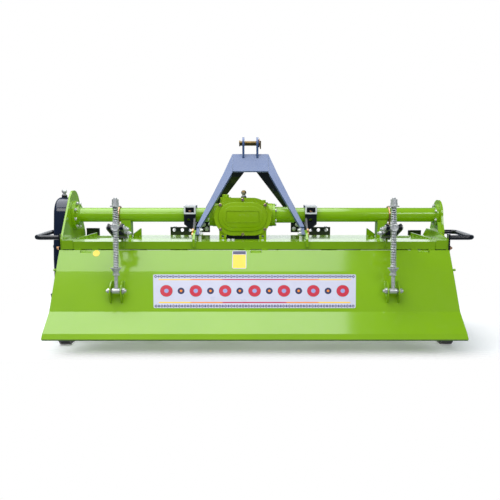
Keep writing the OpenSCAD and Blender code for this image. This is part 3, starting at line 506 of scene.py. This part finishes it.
def oval_pad(b, w, h, y0, y1, c, mi=0):
    """Raised oval whose rim is rounded: rings from the base to the top."""
    rings = [(w, h, y0), (w, h, y1 + c), (w - 0.6 * c, h - 0.6 * c, y1 + 0.35 * c), (w - 2 * c, h - 2 * c, y1)]
    vs, fs = [], []
    n = None
    for (ww, hh, yy) in rings:
        pts = stadium(ww, hh)
        n = len(pts)
        vs += [MY @ Vector((x, z, yy)) for x, z in pts]
    for j in range(len(rings) - 1):
        for k in range(n):
            fs.append((j * n + k, j * n + (k + 1) % n, (j + 1) * n + (k + 1) % n, (j + 1) * n + k))
    fs.append(tuple(range((len(rings) - 1) * n, len(rings) * n)))
    fs.append(tuple(range(n - 1, -1, -1)))
    b.add(vs, fs, mi)


# shallow dished step around the cover's middle, and a bare raised panel
oval_pad(b, 0.2535, 0.1515, 0.004, -0.0012, 0.0022)
oval_pad(b, 0.214, 0.112, 0.001, -0.0026, 0.0016)
P = [(-0.088, -0.031), (0.088, -0.031), (0.088, 0.031), (-0.088, 0.031)]


def rrect(w, h, r, n=6):
    out = []
    for cx, cy, a0 in ((w / 2 - r, h / 2 - r, 0), (-w / 2 + r, h / 2 - r, 90), (-w / 2 + r, -h / 2 + r, 180), (w / 2 - r, -h / 2 + r, 270)):
        for i in range(n + 1):
            a = math.radians(a0 + 90 * i / n)
            out.append((cx + r * math.cos(a), cy + r * math.sin(a)))
    return out


def frame_bar(b, M, w, h, r, t, z0, z1, mi=0):
    """Raised rounded rectangular outline."""
    o_, i_ = rrect(w, h, r), rrect(w - 2 * t, h - 2 * t, max(r - t, 0.001))
    n = len(o_)
    vs = [M @ Vector((x, y, z)) for pts, z in ((o_, z0), (o_, z1), (i_, z1), (i_, z0)) for x, y in pts]
    fs = []
    for j in range(4):
        for k in range(n):
            j2 = (j + 1) % 4
            fs.append((j * n + k, j * n + (k + 1) % n, j2 * n + (k + 1) % n, j2 * n + k))
    b.add(vs, fs, mi)


MC = MY @ Matrix.Translation((0, 0.002, 0))
frame_bar(b, MC, 0.176, 0.064, 0.010, 0.0035, -0.0024, -0.0046)
b.make("cover_relief", CAST, "frame", sharp=50)
# housing: bolts round the tube flanges, plugs, ribs
b = Mb()
for k in range(8):
    a = 2 * math.pi * (k + 0.5) / 8
    b.bolt((-0.238, TY + 0.052 * math.cos(a), TZ + 0.052 * math.sin(a)), (-1, 0, 0), s=0.008, h=0.006)
for k in range(6):
    a = 2 * math.pi * (k + 0.5) / 6
    b.bolt((0.112, TY + 0.0535 * math.cos(a), TZ + 0.0535 * math.sin(a)), (1, 0, 0), s=0.0075, h=0.006, wash=1.5)
    b.bolt((HX + 0.058 * math.cos(a), TY + 0.110, TZ + 0.058 * math.sin(a)), (0, 1, 0), s=0.0075, h=0.006, wash=1.5)
for x in (-0.130, -0.108):
    b.bolt((x, HY + 0.040, 0.5170), (0, 0, 1), s=0.009, h=0.007)
for s in (-1, 1):
    for yy in (TY + 0.000, TY + 0.040):
        b.bolt((GX + s * 0.105, yy, DECK + 0.008), (0, 0, 1), s=0.010, h=0.008, stud=0.004)
b.make("gearbox_bolts", ZINC, "frame")
b = Mb()
b.bolt((GX + 0.108, TY - 0.010, 0.700), (0, 0, 1), s=0.016, h=0.009, wash=1.6)
b.bolt((GX - 0.092, TY - 0.020, 0.728), (0, 0, 1), s=0.018, h=0.010, wash=1.6)
b.bolt((GX + 0.040, TY + 0.096, 0.590), (0, 1, 0), s=0.011, h=0.007, wash=1.6)
b.make("gearbox_plugs", CAST, "frame")
b = Mb()
for x in (-0.060, 0.0, 0.060):
    b.block(I4, (GX + x - 0.005, TY - 0.017, 0.7005), (GX + x + 0.005, TY + 0.092, 0.712), 0.002)
for s in (-1, 1):
    b.block(I4, (GX + s * 0.1225 - 0.004, TY - 0.010, 0.580), (GX + s * 0.1225 + 0.004, TY + 0.088, 0.586), 0.0015)
b.make("housing_ribs", CAST, "frame")

# ------------------------------------------------------------------ tube flange bolts
b = Mb()
for k in range(8):
    a = 2 * math.pi * (k + 0.35) / 8
    b.bolt((-0.949, TY + 0.0655 * math.cos(a), TZ + 0.0655 * math.sin(a)), (1, 0, 0), s=0.0078, h=0.0070, wash=1.6, stud=0.002)
for k in range(6):
    a = 2 * math.pi * (k + 0.5) / 6
    b.bolt((0.971, TY + 0.0485 * math.cos(a), TZ + 0.0485 * math.sin(a)), (-1, 0, 0), s=0.0074, h=0.0065, wash=1.6, stud=0.002)
    b.bolt((0.995, TY + 0.0485 * math.cos(a), TZ + 0.0485 * math.sin(a)), (1, 0, 0), s=0.0085, h=0.0065)
for k in range(8):
    a = 2 * math.pi * k / 8
    b.bolt((0.989, RY + 0.060 * math.cos(a), RZ + 0.060 * math.sin(a)), (1, 0, 0), s=0.0085, h=0.0065)
b.make("flange_bolts", ZINC, "frame")

# ------------------------------------------------------------------ side case: rounded cover, rim bolts, plugs
def outline(cs, n=40):
    """Convex outline around circles given as (y, z, r), counter-clockwise, evenly resampled by direction."""
    out = []
    N_ = 160
    for i in range(N_):
        a = 2 * math.pi * i / N_
        d = (math.cos(a), math.sin(a))
        y, z, r = max(cs, key=lambda c: c[0] * d[0] + c[1] * d[1] + c[2])
        out.append((y + r * d[0], z + r * d[1]))
    return out


def case_shape(inset):
    c = [(TY, TZ, 0.095), (RY, RZ, 0.108), (TY + 0.008, 0.460, 0.111), (TY - 0.012, 0.460, 0.111), (RY + 0.004, 0.400, 0.114), (TY + 0.002, 0.400, 0.114)]
    return outline([(y, z, max(r - inset, 0.004)) for y, z, r in c])


b = Mb()
R_ = 0.022
prof = [(0.0, -0.9752), (0.0, -0.9872), (-0.0, -1.0330)] + [(R_ * (1 - math.cos(t)), -1.0330 - R_ * math.sin(t)) for t in [math.pi / 2 * i / 7 for i in range(1, 8)]]
prof += [(0.030, -1.0550), (0.033, -1.0538), (0.038, -1.0538), (0.041, -1.0550), (0.090, -1.0552)]
vs, fs = [], []
n_ = None
for inset, x in prof:
    pts = case_shape(inset)
    n_ = len(pts)
    vs += [(x, y, z) for y, z in pts]
for j in range(len(prof) - 1):
    for k in range(n_):
        fs.append((j * n_ + k, j * n_ + (k + 1) % n_, (j + 1) * n_ + (k + 1) % n_, (j + 1) * n_ + k))
fs.append(tuple(range((len(prof) - 1) * n_, len(prof) * n_)))
fs.append(tuple(range(n_ - 1, -1, -1)))
b.add(vs, fs)
MXn = frame_to((-1.055, RY, RZ), (-1, 0, 0))
b.lathe(MXn, [(0, 0.0160), (0.036, 0.0160), (0.040, 0.0140), (0.056, 0.0140), (0.0605, 0.0115), (0.062, 0.0), (0.062, -0.001)], 48)
# ledge beside the cap
led = [(RY - 0.096, 0.222), (RY - 0.040, 0.222), (RY - 0.050, 0.150), (RY - 0.078, 0.176)]
b.hull([(x, y, z) for (y, z) in led for x in (-1.050, -1.0770)] + [(-1.079, y * 0.9 + (RY - 0.066) * 0.1, z * 0.9 + 0.1925 * 0.1) for (y, z) in led])
o = b.make("side_case_shell", CASEBLACK, "frame", sharp=48)
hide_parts("side_drive_case")

b = Mb()
ring_ = case_shape(0.0355)
acc = 0.0
last = ring_[0]
for q in ring_:
    acc += math.dist(q, last)
    last = q
    if acc >= 0.085:
        acc = 0.0
        b.bolt((-1.0535, q[0], q[1]), (-1, 0, 0), s=0.0082, h=0.0062)
b.make("case_bolts", ZINC, "frame")
b = Mb()
b.bolt((-1.055, TY - 0.012, 0.470), (-1, 0, 0), s=0.016, h=0.010, wash=1.5)
b.bolt((-1.055, TY - 0.040, 0.385), (-1, 0, 0), s=0.011, h=0.008, wash=1.5)
for k in range(6):
    a = 2 * math.pi * k / 6
    b.bolt((-1.071, RY + 0.048 * math.cos(a), RZ + 0.048 * math.sin(a)), (-1, 0, 0), s=0.0075, h=0.006, wash=1.5)
b.make("case_plugs", ZINC, "frame")

# ------------------------------------------------------------------ guards, skids and side plates: bolts
b = Mb()
for (x, y, z, ax) in ((-0.983, HY + 0.018, 0.482, (-1, 0, 0)), (0.983, HY + 0.018, 0.482, (1, 0, 0))):
    b.bolt((x, y, z), ax, s=0.0105, h=0.008, stud=0.006)
b.make("guard_bolts", COPPER, "frame")
b = Mb()
for s, x in ((-1, -0.9568), (1, 0.9832)):
    for (dy, z) in ((-0.138, 0.182), (-0.120, 0.147), (0.132, 0.178), (0.109, 0.147)):
        ax = (1, 0, 0)
        b.bolt((x, RY + dy, z), ax, s=0.0105, h=0.008, stud=0.004)
        if s < 0:
            b.bolt((-HALF, RY + dy, z), (-1, 0, 0), s=0.0105, h=0.008)
for s in (-1, 1):
    for (y, z) in ((TY + 0.150, 0.470), (TY + 0.120, 0.492), (HY + 0.060, 0.492)):
        b.bolt((s * HALF, y, z), (s, 0, 0), s=0.009, h=0.007)
b.make("plate_bolts", ZINC, "frame")

# ------------------------------------------------------------------ hitch trim
b = Mb(); w = Mb(); k2 = Mb()
for s in (-1, 1):
    X = lambda v: HX + s * v
    # painted highlight: near-white frame around the clamp's mouth, standing in for light caught on its rim
    a0, a1 = sorted((X(0.2895), X(0.3525)))
    M = Matrix(((1, 0, 0, (a0 + a1) / 2), (0, 0, 1, TY - 0.058), (0, 1, 0, 0.662), (0, 0, 0, 1)))
    frame_bar(w, M, 0.063, 0.044, 0.003, 0.0085, 0.002, -0.0035)
    b.bolt((X(0.321), TY - 0.050, 0.6505), (0, 0, 1), s=0.009, h=0.006, wash=1.5, mi=1)
    # rib and leg foot bolts
    for (yy, zz) in ((-0.004, 0.565), (-0.016, 0.546)):
        b.bolt((X(0.262), yy, zz), (-s, 0, 0), s=0.0115, h=0.009, stud=0.007)
        b.bolt((X(0.2905), yy - 0.004, zz - 0.004), (s, 0, 0), s=0.0115, h=0.009, mi=1)
    for (xx, zz) in ((0.246, 0.588), (0.268, 0.560), (0.250, 0.536)):
        b.bolt((X(xx), TY + 0.192, zz), (0, -1, 0), s=0.0105, h=0.0085, stud=0.007)
        b.bolt((X(xx), TY + 0.204, zz), (0, 1, 0), s=0.0105, h=0.0075)
    # linch pin through the link pin
    px = X(0.440)
    b.tube([(px, TY + 0.264, 0.506 + 0.032), (px, TY + 0.264, 0.506 - 0.026)], 0.0045, 12, mi=0)
    b.cyl(frame_to((px, TY + 0.264, 0.506 + 0.032), (0, 0, 1)), 0.0085, -0.001, 0.007, 18, mi=0)
    ring = [(px + 0.026 * math.cos(t) * 0 + 0.003, TY + 0.264 + 0.027 * math.sin(t), 0.506 + 0.010 + 0.027 * math.cos(t)) for t in [2 * math.pi * i / 28 for i in range(28)]]
    b.tube(ring, 0.0022, 8, closed=True, mi=0)
# linch pin beside the top pin's right ear
px = HX + 0.0475
b.tube([(px, TY + 0.135, 1.016 + 0.021), (px, TY + 0.135, 1.016 - 0.021)], 0.003, 10, mi=1)
ring = [(px + 0.002, TY + 0.135 + 0.021 * math.sin(t), 1.016 + 0.004 + 0.021 * math.cos(t)) for t in [2 * math.pi * i / 26 for i in range(26)]]
b.tube(ring, 0.0018, 8, closed=True, mi=1)
b.make("hitch_hardware", [ZINC, COPPER], "frame")
w.make("clamp_mouth_highlights", CLAMP_RIM_HIGHLIGHT, "frame")

# ------------------------------------------------------------------ fork and lug hardware
b = Mb()
for s in (-1, 1):
    X = lambda v: s * (RODX + v)
    for (yy, zz) in ((HY - 0.026, 0.556), (HY + 0.020, 0.537)):
        for q in (-1, 1):
            b.bolt((s * RODX + q * 0.0112, yy, zz), (q, 0, 0), s=0.0105, h=0.0085, stud=0.005 if q > 0 else 0)
    for (yy, zz) in ((HY - 0.118, 0.592), (HY - 0.060, 0.566)):
        b.bolt((s * (RODX - 0.036), yy, zz), (-s, 0, 0), s=0.0125, h=0.010, stud=0.009)
b.make("fork_bolts", ZINC, "frame")
# pads between pedestal and tube
b = Mb()
for s in (-1, 1):
    x0, x1 = sorted((s * (RODX + 0.001), s * (RODX + 0.051)))
    n = 14
    inner, outer = [], []
    for i in range(n + 1):
        a = math.radians(-90 - 46 + 92 * i / n)
        inner.append((TY + 0.0385 * math.cos(a), TZ + 0.0385 * math.sin(a)))
        outer.append((TY + 0.0412 * math.cos(a), TZ + 0.0412 * math.sin(a)))
    vs, fs = [], []
    for x in (x0, x1):
        for (y, z) in inner + outer:
            vs.append((x, y, z))
    m = 2 * (n + 1)
    for i in range(n):
        fs += [(i, i + 1, m + i + 1, m + i), (n + 1 + i + 1, n + 1 + i, m + n + 1 + i, m + n + 1 + i + 1),
               (i + 1, i, n + 1 + i, n + 1 + i + 1), (m + i, m + i + 1, m + n + 1 + i + 1, m + n + 1 + i)]
    fs += [(0, m, m + n + 1, n + 1), (n, n + 1 + n, m + n + 1 + n, m + n)]
    b.add(vs, fs)
b.make("tube_pads", RUBBER, "frame")

# ------------------------------------------------------------------ rotor bolts
b = Mb()
for i in range(8):
    fx = -7 * 0.236 / 2 + i * 0.236
    for k in range(6):
        a0 = math.radians(k * 60 + i * 25)
        side = 1 if k % 2 == 0 else -1
        for (dy, dz) in ((-0.010, 0.076), (0.002, 0.100)):
            dyy = dy if side > 0 else dy
            y = dyy * math.cos(a0) - dz * math.sin(a0); z = dyy * math.sin(a0) + dz * math.cos(a0)
            b.bolt((fx + side * 0.0131, RY + y, RZ + z), (side, 0, 0), s=0.0105, h=0.008)
            b.bolt((fx - side * 0.005, RY + y, RZ + z), (-side, 0, 0), s=0.0105, h=0.009, stud=0.006)
b.make("blade_bolts", BARE, "rotor")

# ------------------------------------------------------------------ welds
b = Mb()
for s in (-1, 1):
    # stitches along both feet of the wedge ribs
    for (x0, y0, x1, y1) in ((RODX - 0.007, TY + 0.012, RODX - 0.039, TY + 0.054), (0.936, TY - 0.088, 0.866, TY + 0.054)):
        d = Vector((x1 - x0, y1 - y0, 0)).normalized(); nn = Vector((-d.y, d.x, 0)) * 0.0045
        for q in (-1, 1):
            b.weld((s * (x0 + q * nn.x), y0 + q * nn.y, DECK + 0.001), (s * (x1 + q * nn.x), y1 + q * nn.y, DECK + 0.001), r=0.0042, gap=(0.020, 0.012))
    for x in (0.652, 0.928):
        b.weld((s * x, -0.045, DECK + 0.0015), (s * x, 0.140, DECK + 0.0015), r=0.0042, gap=(0.022, 0.022))
    for q in (-1, 1):
        b.weld((s * RODX + q * 0.0055, HY - 0.001, 0.486), (s * RODX + q * 0.0055, HY - 0.001, 0.515), r=0.003)
        b.weld((HX + s * 0.284 + q * 0.0065, HY - 0.001, 0.486), (HX + s * 0.284 + q * 0.0065, HY - 0.001, 0.515), r=0.003)
        b.weld((HX + s * 0.284 + q * 0.0065, HY + 0.004, 0.5175), (HX + s * 0.284 + q * 0.0065, HY + 0.088, 0.5175), r=0.003, gap=(0.022, 0.010))
        b.weld((s * RODX + q * 0.0055, HY + 0.004, 0.5175), (s * RODX + q * 0.0055, HY + 0.088, 0.5175), r=0.003, gap=(0.022, 0.010))
    # tube to flange
    r = 0.0385
    for x in ((-0.935,) if s < 0 else (0.971,)):
        pts = [(x, TY + r * math.cos(t), TZ + r * math.sin(t)) for t in [2 * math.pi * i / 72 for i in range(72)]]
        b.tube(pts, 0.0035, 8, closed=True, taper=[0.85 + 0.2 * (i % 2) for i in range(72)])
x = -INNER + 0.06
while x < INNER - 0.06:
    if abs(x - 0.035) > 0.02:
        b.weld((x, HY + 0.092, DECK + 0.0008), (min(x + 0.03, INNER), HY + 0.092, DECK + 0.0008), r=0.0030)
    x += 0.125
b.make("frame_welds", WELD, "frame", sharp=70)
b = Mb()
for s in (-1, 1):
    for off in (0, 0.048):
        x0 = s * (RODX + 0.023) if off == 0 else s * (RODX - 0.029)
        for q in (0.0, 0.006):
            xx = x0 + s * q
            f1 = Vector((xx, FOLD[1][0], FOLD[1][1])); f2 = Vector((xx, FOLD[2][0], FOLD[2][1]))
            d = (f2 - f1).normalized()
            b.weld(f1 + d * 0.050, f1 + d * 0.138, r=0.0028)
for x in (-0.842, 0.008, 0.846):
    b.weld((x - 0.026, HY - 0.0085, HZ - 0.0005), (x + 0.026, HY - 0.0085, HZ - 0.0005), r=0.0018)
b.make("board_welds", WELD, "board", sharp=70)
b = Mb()
def on_face(x, up, out=0.0):
    return Vector((HX + x, HEAD.y, HEAD.z)) + FACE_UP * up + FACE_N * out
for s in (-1, 1):
    b.weld(on_face(s * 0.0985, 0.002), on_face(s * 0.0985, 0.121), r=0.0028)
    for q in (-1, 1):
        b.weld(on_face(s * 0.0385 + q * 0.0065, 0.096), on_face(s * 0.0385 + q * 0.0065, 0.121), r=0.0026)
b.weld(on_face(-0.095, 0.0048, -0.005), on_face(0.095, 0.0048, -0.005), r=0.0022)
b.make("mast_welds", WELD_GREY, "frame", sharp=70)

# ------------------------------------------------------------------ films on the trailing board
def board_pt(panel, x, s, out):
    """Point on a panel of the board's outer face: s along it from its upper fold, out above the face."""
    a = Vector((0, *FOLD[panel])); c = Vector((0, *FOLD[panel + 1]))
    d = (c - a).normalized(); n = Vector((0, d.z, -d.y))
    if n.y > 0:
        n = -n
    return Vector((x, 0, 0)) + a + d * s + n * out


def patch(b, pts, panel, z, mi, t=0.00012):
    """Thin film with an outline given as (x, s) on a panel."""
    n = len(pts)
    vs = [board_pt(panel, x, s, z) for x, s in pts] + [board_pt(panel, x, s, z + t) for x, s in pts]
    fs = [tuple(range(n - 1, -1, -1)), tuple(range(n, 2 * n))] + [(k, (k + 1) % n, n + (k + 1) % n, n + k) for k in range(n)]
    b.add(vs, fs, mi)


def quad(x0, s0, x1, s1):
    return [(x0, s0), (x1, s0), (x1, s1), (x0, s1)]


def rounded(x0, s0, x1, s1, r, n=6):
    pts = []
    for cx0, cs0, a0 in ((x1 - r, s0 + r, -math.pi / 2), (x1 - r, s1 - r, 0), (x0 + r, s1 - r, math.pi / 2), (x0 + r, s0 + r, math.pi)):
        for i in range(n + 1):
            t = a0 + math.pi / 2 * i / n
            pts.append((cx0 + r * math.cos(t), cs0 + r * math.sin(t)))
    return pts


def slanted(x0, x1, s0, s1, lean=0.018):
    return [(x0 + lean, s0), (x1 + lean, s0), (x1, s1), (x0, s1)]


# the large film narrows a little towards its lower edge
X0, X1, S0, S1 = -0.496, 0.496, 0.0166, 0.1925
b = Mb()


def sheet(pts, z, mi, t=0.00012):
    patch(b, [(x * (1 - 0.031 * (q - S0) / (S1 - S0)), q) for x, q in pts], 1, z, mi, t)


sheet(rounded(X0, S0, X1, S1, 0.007), 0.0002, 0, 0.0002)
# border rows: lozenges between round dots, with small half shapes along the edge
for srow, h in ((S0 + 0.0112, 0.0092), (S1 - 0.0100, 0.0084)):
    n = 69
    for k in range(n):
        x = X0 + 0.0125 + (X1 - X0 - 0.025) * k / (n - 1)
        if k % 2 == 0:
            sheet([(x, srow - h), (x + 0.0084, srow), (x, srow + h), (x - 0.0084, srow)], 0.00042, 1)
            sheet([(x, srow - 0.0034), (x + 0.0040, srow), (x, srow + 0.0034), (x - 0.0040, srow)], 0.00056, 0)
        else:
            sheet([(x + 0.0054 * math.cos(t), srow + 0.0054 * math.sin(t)) for t in [2 * math.pi * i / 10 for i in range(10)]], 0.00042, 1)
            sheet([(x + 0.0018 * math.cos(t), srow + 0.0018 * math.sin(t)) for t in [2 * math.pi * i / 8 for i in range(8)]], 0.00056, 6)
            sheet([(x - 0.0040, srow - h), (x + 0.0040, srow - h), (x, srow - h + 0.0030)], 0.00042, 6)
            sheet([(x - 0.0040, srow + h), (x, srow + h - 0.0030), (x + 0.0040, srow + h)], 0.00042, 6)


def stripe(x0, x1, sc, w, cols, z=0.00042):
    """Straight line whose colour changes along it in equal steps."""
    n = len(cols)
    for i, mi in enumerate(cols):
        sheet(quad(x0 + (x1 - x0) * i / n, sc - w / 2, x0 + (x1 - x0) * (i + 1) / n, sc + w / 2), z, mi)


def disc(x, sc, r, z, mi, n=28):
    sheet([(x + r * math.cos(2 * math.pi * i / n), sc + r * math.sin(2 * math.pi * i / n)) for i in range(n)], z, mi)


# two plain lines over the full width, and a centred row of large and small discs between them
stripe(-0.470, 0.470, 0.0440, 0.0060, (4, 3, 2, 2, 3, 4))
stripe(-0.470, 0.470, 0.1640, 0.0060, (4, 3, 2, 2, 3, 4))
for i in range(13):
    x = -0.432 + i * 0.072
    if i % 2 == 0:
        disc(x, 0.1040, 0.0340, 0.00042, 8)
        disc(x, 0.1040, 0.0310, 0.00056, 2)
        disc(x, 0.1040, 0.0110, 0.00070, 6)
    else:
        disc(x, 0.1040, 0.0170, 0.00042, 1)
        disc(x, 0.1040, 0.0065, 0.00056, 3)
b.make("board_film", [F_GROUND, F_NAVY, F_RED, F_ORANGE, F_YELLOW, F_PINK, F_PALE, F_GREY, F_CYAN], "board", smooth=False)
# plain label with a dark header, and a plain round dot
b = Mb()
patch(b, rounded(-0.110, 0.003, -0.040, 0.104, 0.008), 0, 0.0002, 0, 0.0002)
patch(b, quad(-0.107, 0.006, -0.043, 0.024), 0, 0.00042, 1)
patch(b, quad(-0.107, 0.026, -0.043, 0.101), 0, 0.00042, 2)
cxx, css = -0.788, 0.018
patch(b, [(cxx + 0.017 * math.cos(t), css + 0.017 * math.sin(t)) for t in [2 * math.pi * i / 32 for i in range(32)]], 0, 0.0002, 2)
b.make("board_labels", [F_GROUND, F_NAVY, F_YELLOW], "board", smooth=False)

# ------------------------------------------------------------------ floor, light and background
def stage_plane():
    me = bpy.data.meshes.new("floor")
    S = 14
    me.from_pydata([(-S, -S, 0), (S, -S, 0), (S, S, 0), (-S, S, 0)], [], [(0, 1, 2, 3)])
    # full strength under the machine, see-through further out
    o = bpy.data.objects.new("floor", me)
    m, nt, N, L, P = new_mat("floor_white")
    tc = N.new("ShaderNodeTexCoord"); n = N.new("ShaderNodeTexNoise"); n.inputs["Scale"].default_value = 2
    L.new(tc.outputs["Object"], n.inputs["Vector"])
    r = N.new("ShaderNodeMapRange"); r.inputs["To Min"].default_value = 0.95; r.inputs["To Max"].default_value = 0.98
    L.new(n.outputs["Fac"], r.inputs["Value"])
    cb = N.new("ShaderNodeCombineColor")
    for c in ("Red", "Green", "Blue"):
        L.new(r.outputs["Result"], cb.inputs[c])
    L.new(cb.outputs["Color"], P.inputs["Base Color"])
    P.inputs["Roughness"].default_value = 0.9
    P.inputs["Specular IOR Level"].default_value = 0.1
    P.inputs["Emission Color"].default_value = (1, 1, 1, 1)
    P.inputs["Emission Strength"].default_value = 0.10
    sep = N.new("ShaderNodeSeparateXYZ"); L.new(tc.outputs["Object"], sep.inputs["Vector"])
    ab = N.new("ShaderNodeMath"); ab.operation = "ABSOLUTE"; L.new(sep.outputs["X"], ab.inputs[0])
    last = None
    for src, v0, v1 in ((ab.outputs["Value"], 1.10, 1.55), (sep.outputs["Y"], -0.20, -0.42), (sep.outputs["Y"], 0.60, 1.05)):
        mr = N.new("ShaderNodeMapRange"); mr.interpolation_type = "SMOOTHSTEP"
        mr.inputs["From Min"].default_value = min(v0, v1); mr.inputs["From Max"].default_value = max(v0, v1)
        mr.inputs["To Min"].default_value = 0.0 if v1 > v0 else 1.0
        mr.inputs["To Max"].default_value = 1.0 if v1 > v0 else 0.0
        L.new(src, mr.inputs["Value"])
        if last is None:
            last = mr.outputs["Result"]
        else:
            m2 = N.new("ShaderNodeMath"); m2.operation = "MAXIMUM"
            L.new(last, m2.inputs[0]); L.new(mr.outputs["Result"], m2.inputs[1]); last = m2.outputs["Value"]
    tr = N.new("ShaderNodeBsdfTransparent"); ms = N.new("ShaderNodeMixShader")
    # the plane is seen from above only
    ge = N.new("ShaderNodeNewGeometry"); mx = N.new("ShaderNodeMath"); mx.operation = "MAXIMUM"
    L.new(last, mx.inputs[0]); L.new(ge.outputs["Backfacing"], mx.inputs[1])
    L.new(mx.outputs["Value"], ms.inputs["Fac"]); L.new(P.outputs["BSDF"], ms.inputs[1]); L.new(tr.outputs["BSDF"], ms.inputs[2])
    L.new(ms.outputs["Shader"], N["Material Output"].inputs["Surface"])
    me.materials.append(m)
    bpy.context.scene.collection.objects.link(o)


stage_plane()


def area(name, loc, target, sx, sy, power, color=(1, 1, 1), cam_visible=False):
    d = bpy.data.lights.new(name, "AREA")
    d.shape = "RECTANGLE"; d.size = sx; d.size_y = sy; d.energy = power; d.color = color
    o = bpy.data.objects.new(name, d)
    o.location = loc
    dirv = Vector(target) - Vector(loc)
    o.rotation_euler = dirv.to_track_quat("-Z", "Y").to_euler()
    o.visible_camera = cam_visible
    bpy.context.scene.collection.objects.link(o)
    return o


# broad overhead softbox whose right edge ends over the machine, as the photographed reflection does
area("sky_box", (-1.25, 0.13, 3.0), (-1.25, 0.13, 0), 4.3, 3.5, 158, (0.95, 0.97, 1.0))
front = area("front_box", (0.2, 4.4, 1.4), (0, 0, 0.55), 7.0, 2.6, 200, (0.95, 0.98, 1.0))
front.visible_glossy = False
area("front_card", (0.2, 4.4, 1.55), (0, 0, 0.9), 7.0, 1.45, 36, (0.95, 0.98, 1.0))
area("rear_key", (-2.2, -3.7, 3.4), (0, 0, 0.4), 3.0, 1.4, 52, (1.0, 0.98, 0.94))
area("rear_fill", (3.0, -3.6, 3.1), (0, 0, 0.4), 3.0, 1.4, 72, (0.97, 0.98, 1.0))
low = area("rear_low", (0.4, -5.0, 0.75), (0, 0, 0.45), 3.2, 0.7, 62, (1.0, 1.0, 1.0))
low.visible_glossy = False
world = bpy.data.worlds.new("world")
world.use_nodes = True
bpy.context.scene.world = world
wn, wl = world.node_tree.nodes, world.node_tree.links
bg = wn["Background"]
lp = wn.new("ShaderNodeLightPath")
bg2 = wn.new("ShaderNodeBackground"); bg2.inputs["Color"].default_value = (1, 1, 1, 1); bg2.inputs["Strength"].default_value = 1.0
bg.inputs["Color"].default_value = (0.62, 0.78, 1.0, 1); bg.inputs["Strength"].default_value = 0.16
mx = wn.new("ShaderNodeMixShader")
wl.new(lp.outputs["Is Camera Ray"], mx.inputs["Fac"]); wl.new(bg.outputs["Background"], mx.inputs[1]); wl.new(bg2.outputs["Background"], mx.inputs[2])
wl.new(mx.outputs["Shader"], wn["World Output"].inputs["Surface"])
bpy.context.scene.view_settings.view_transform = "Standard"
bpy.context.scene.view_settings.look = "None"
bpy.context.scene.view_settings.exposure = 0.0
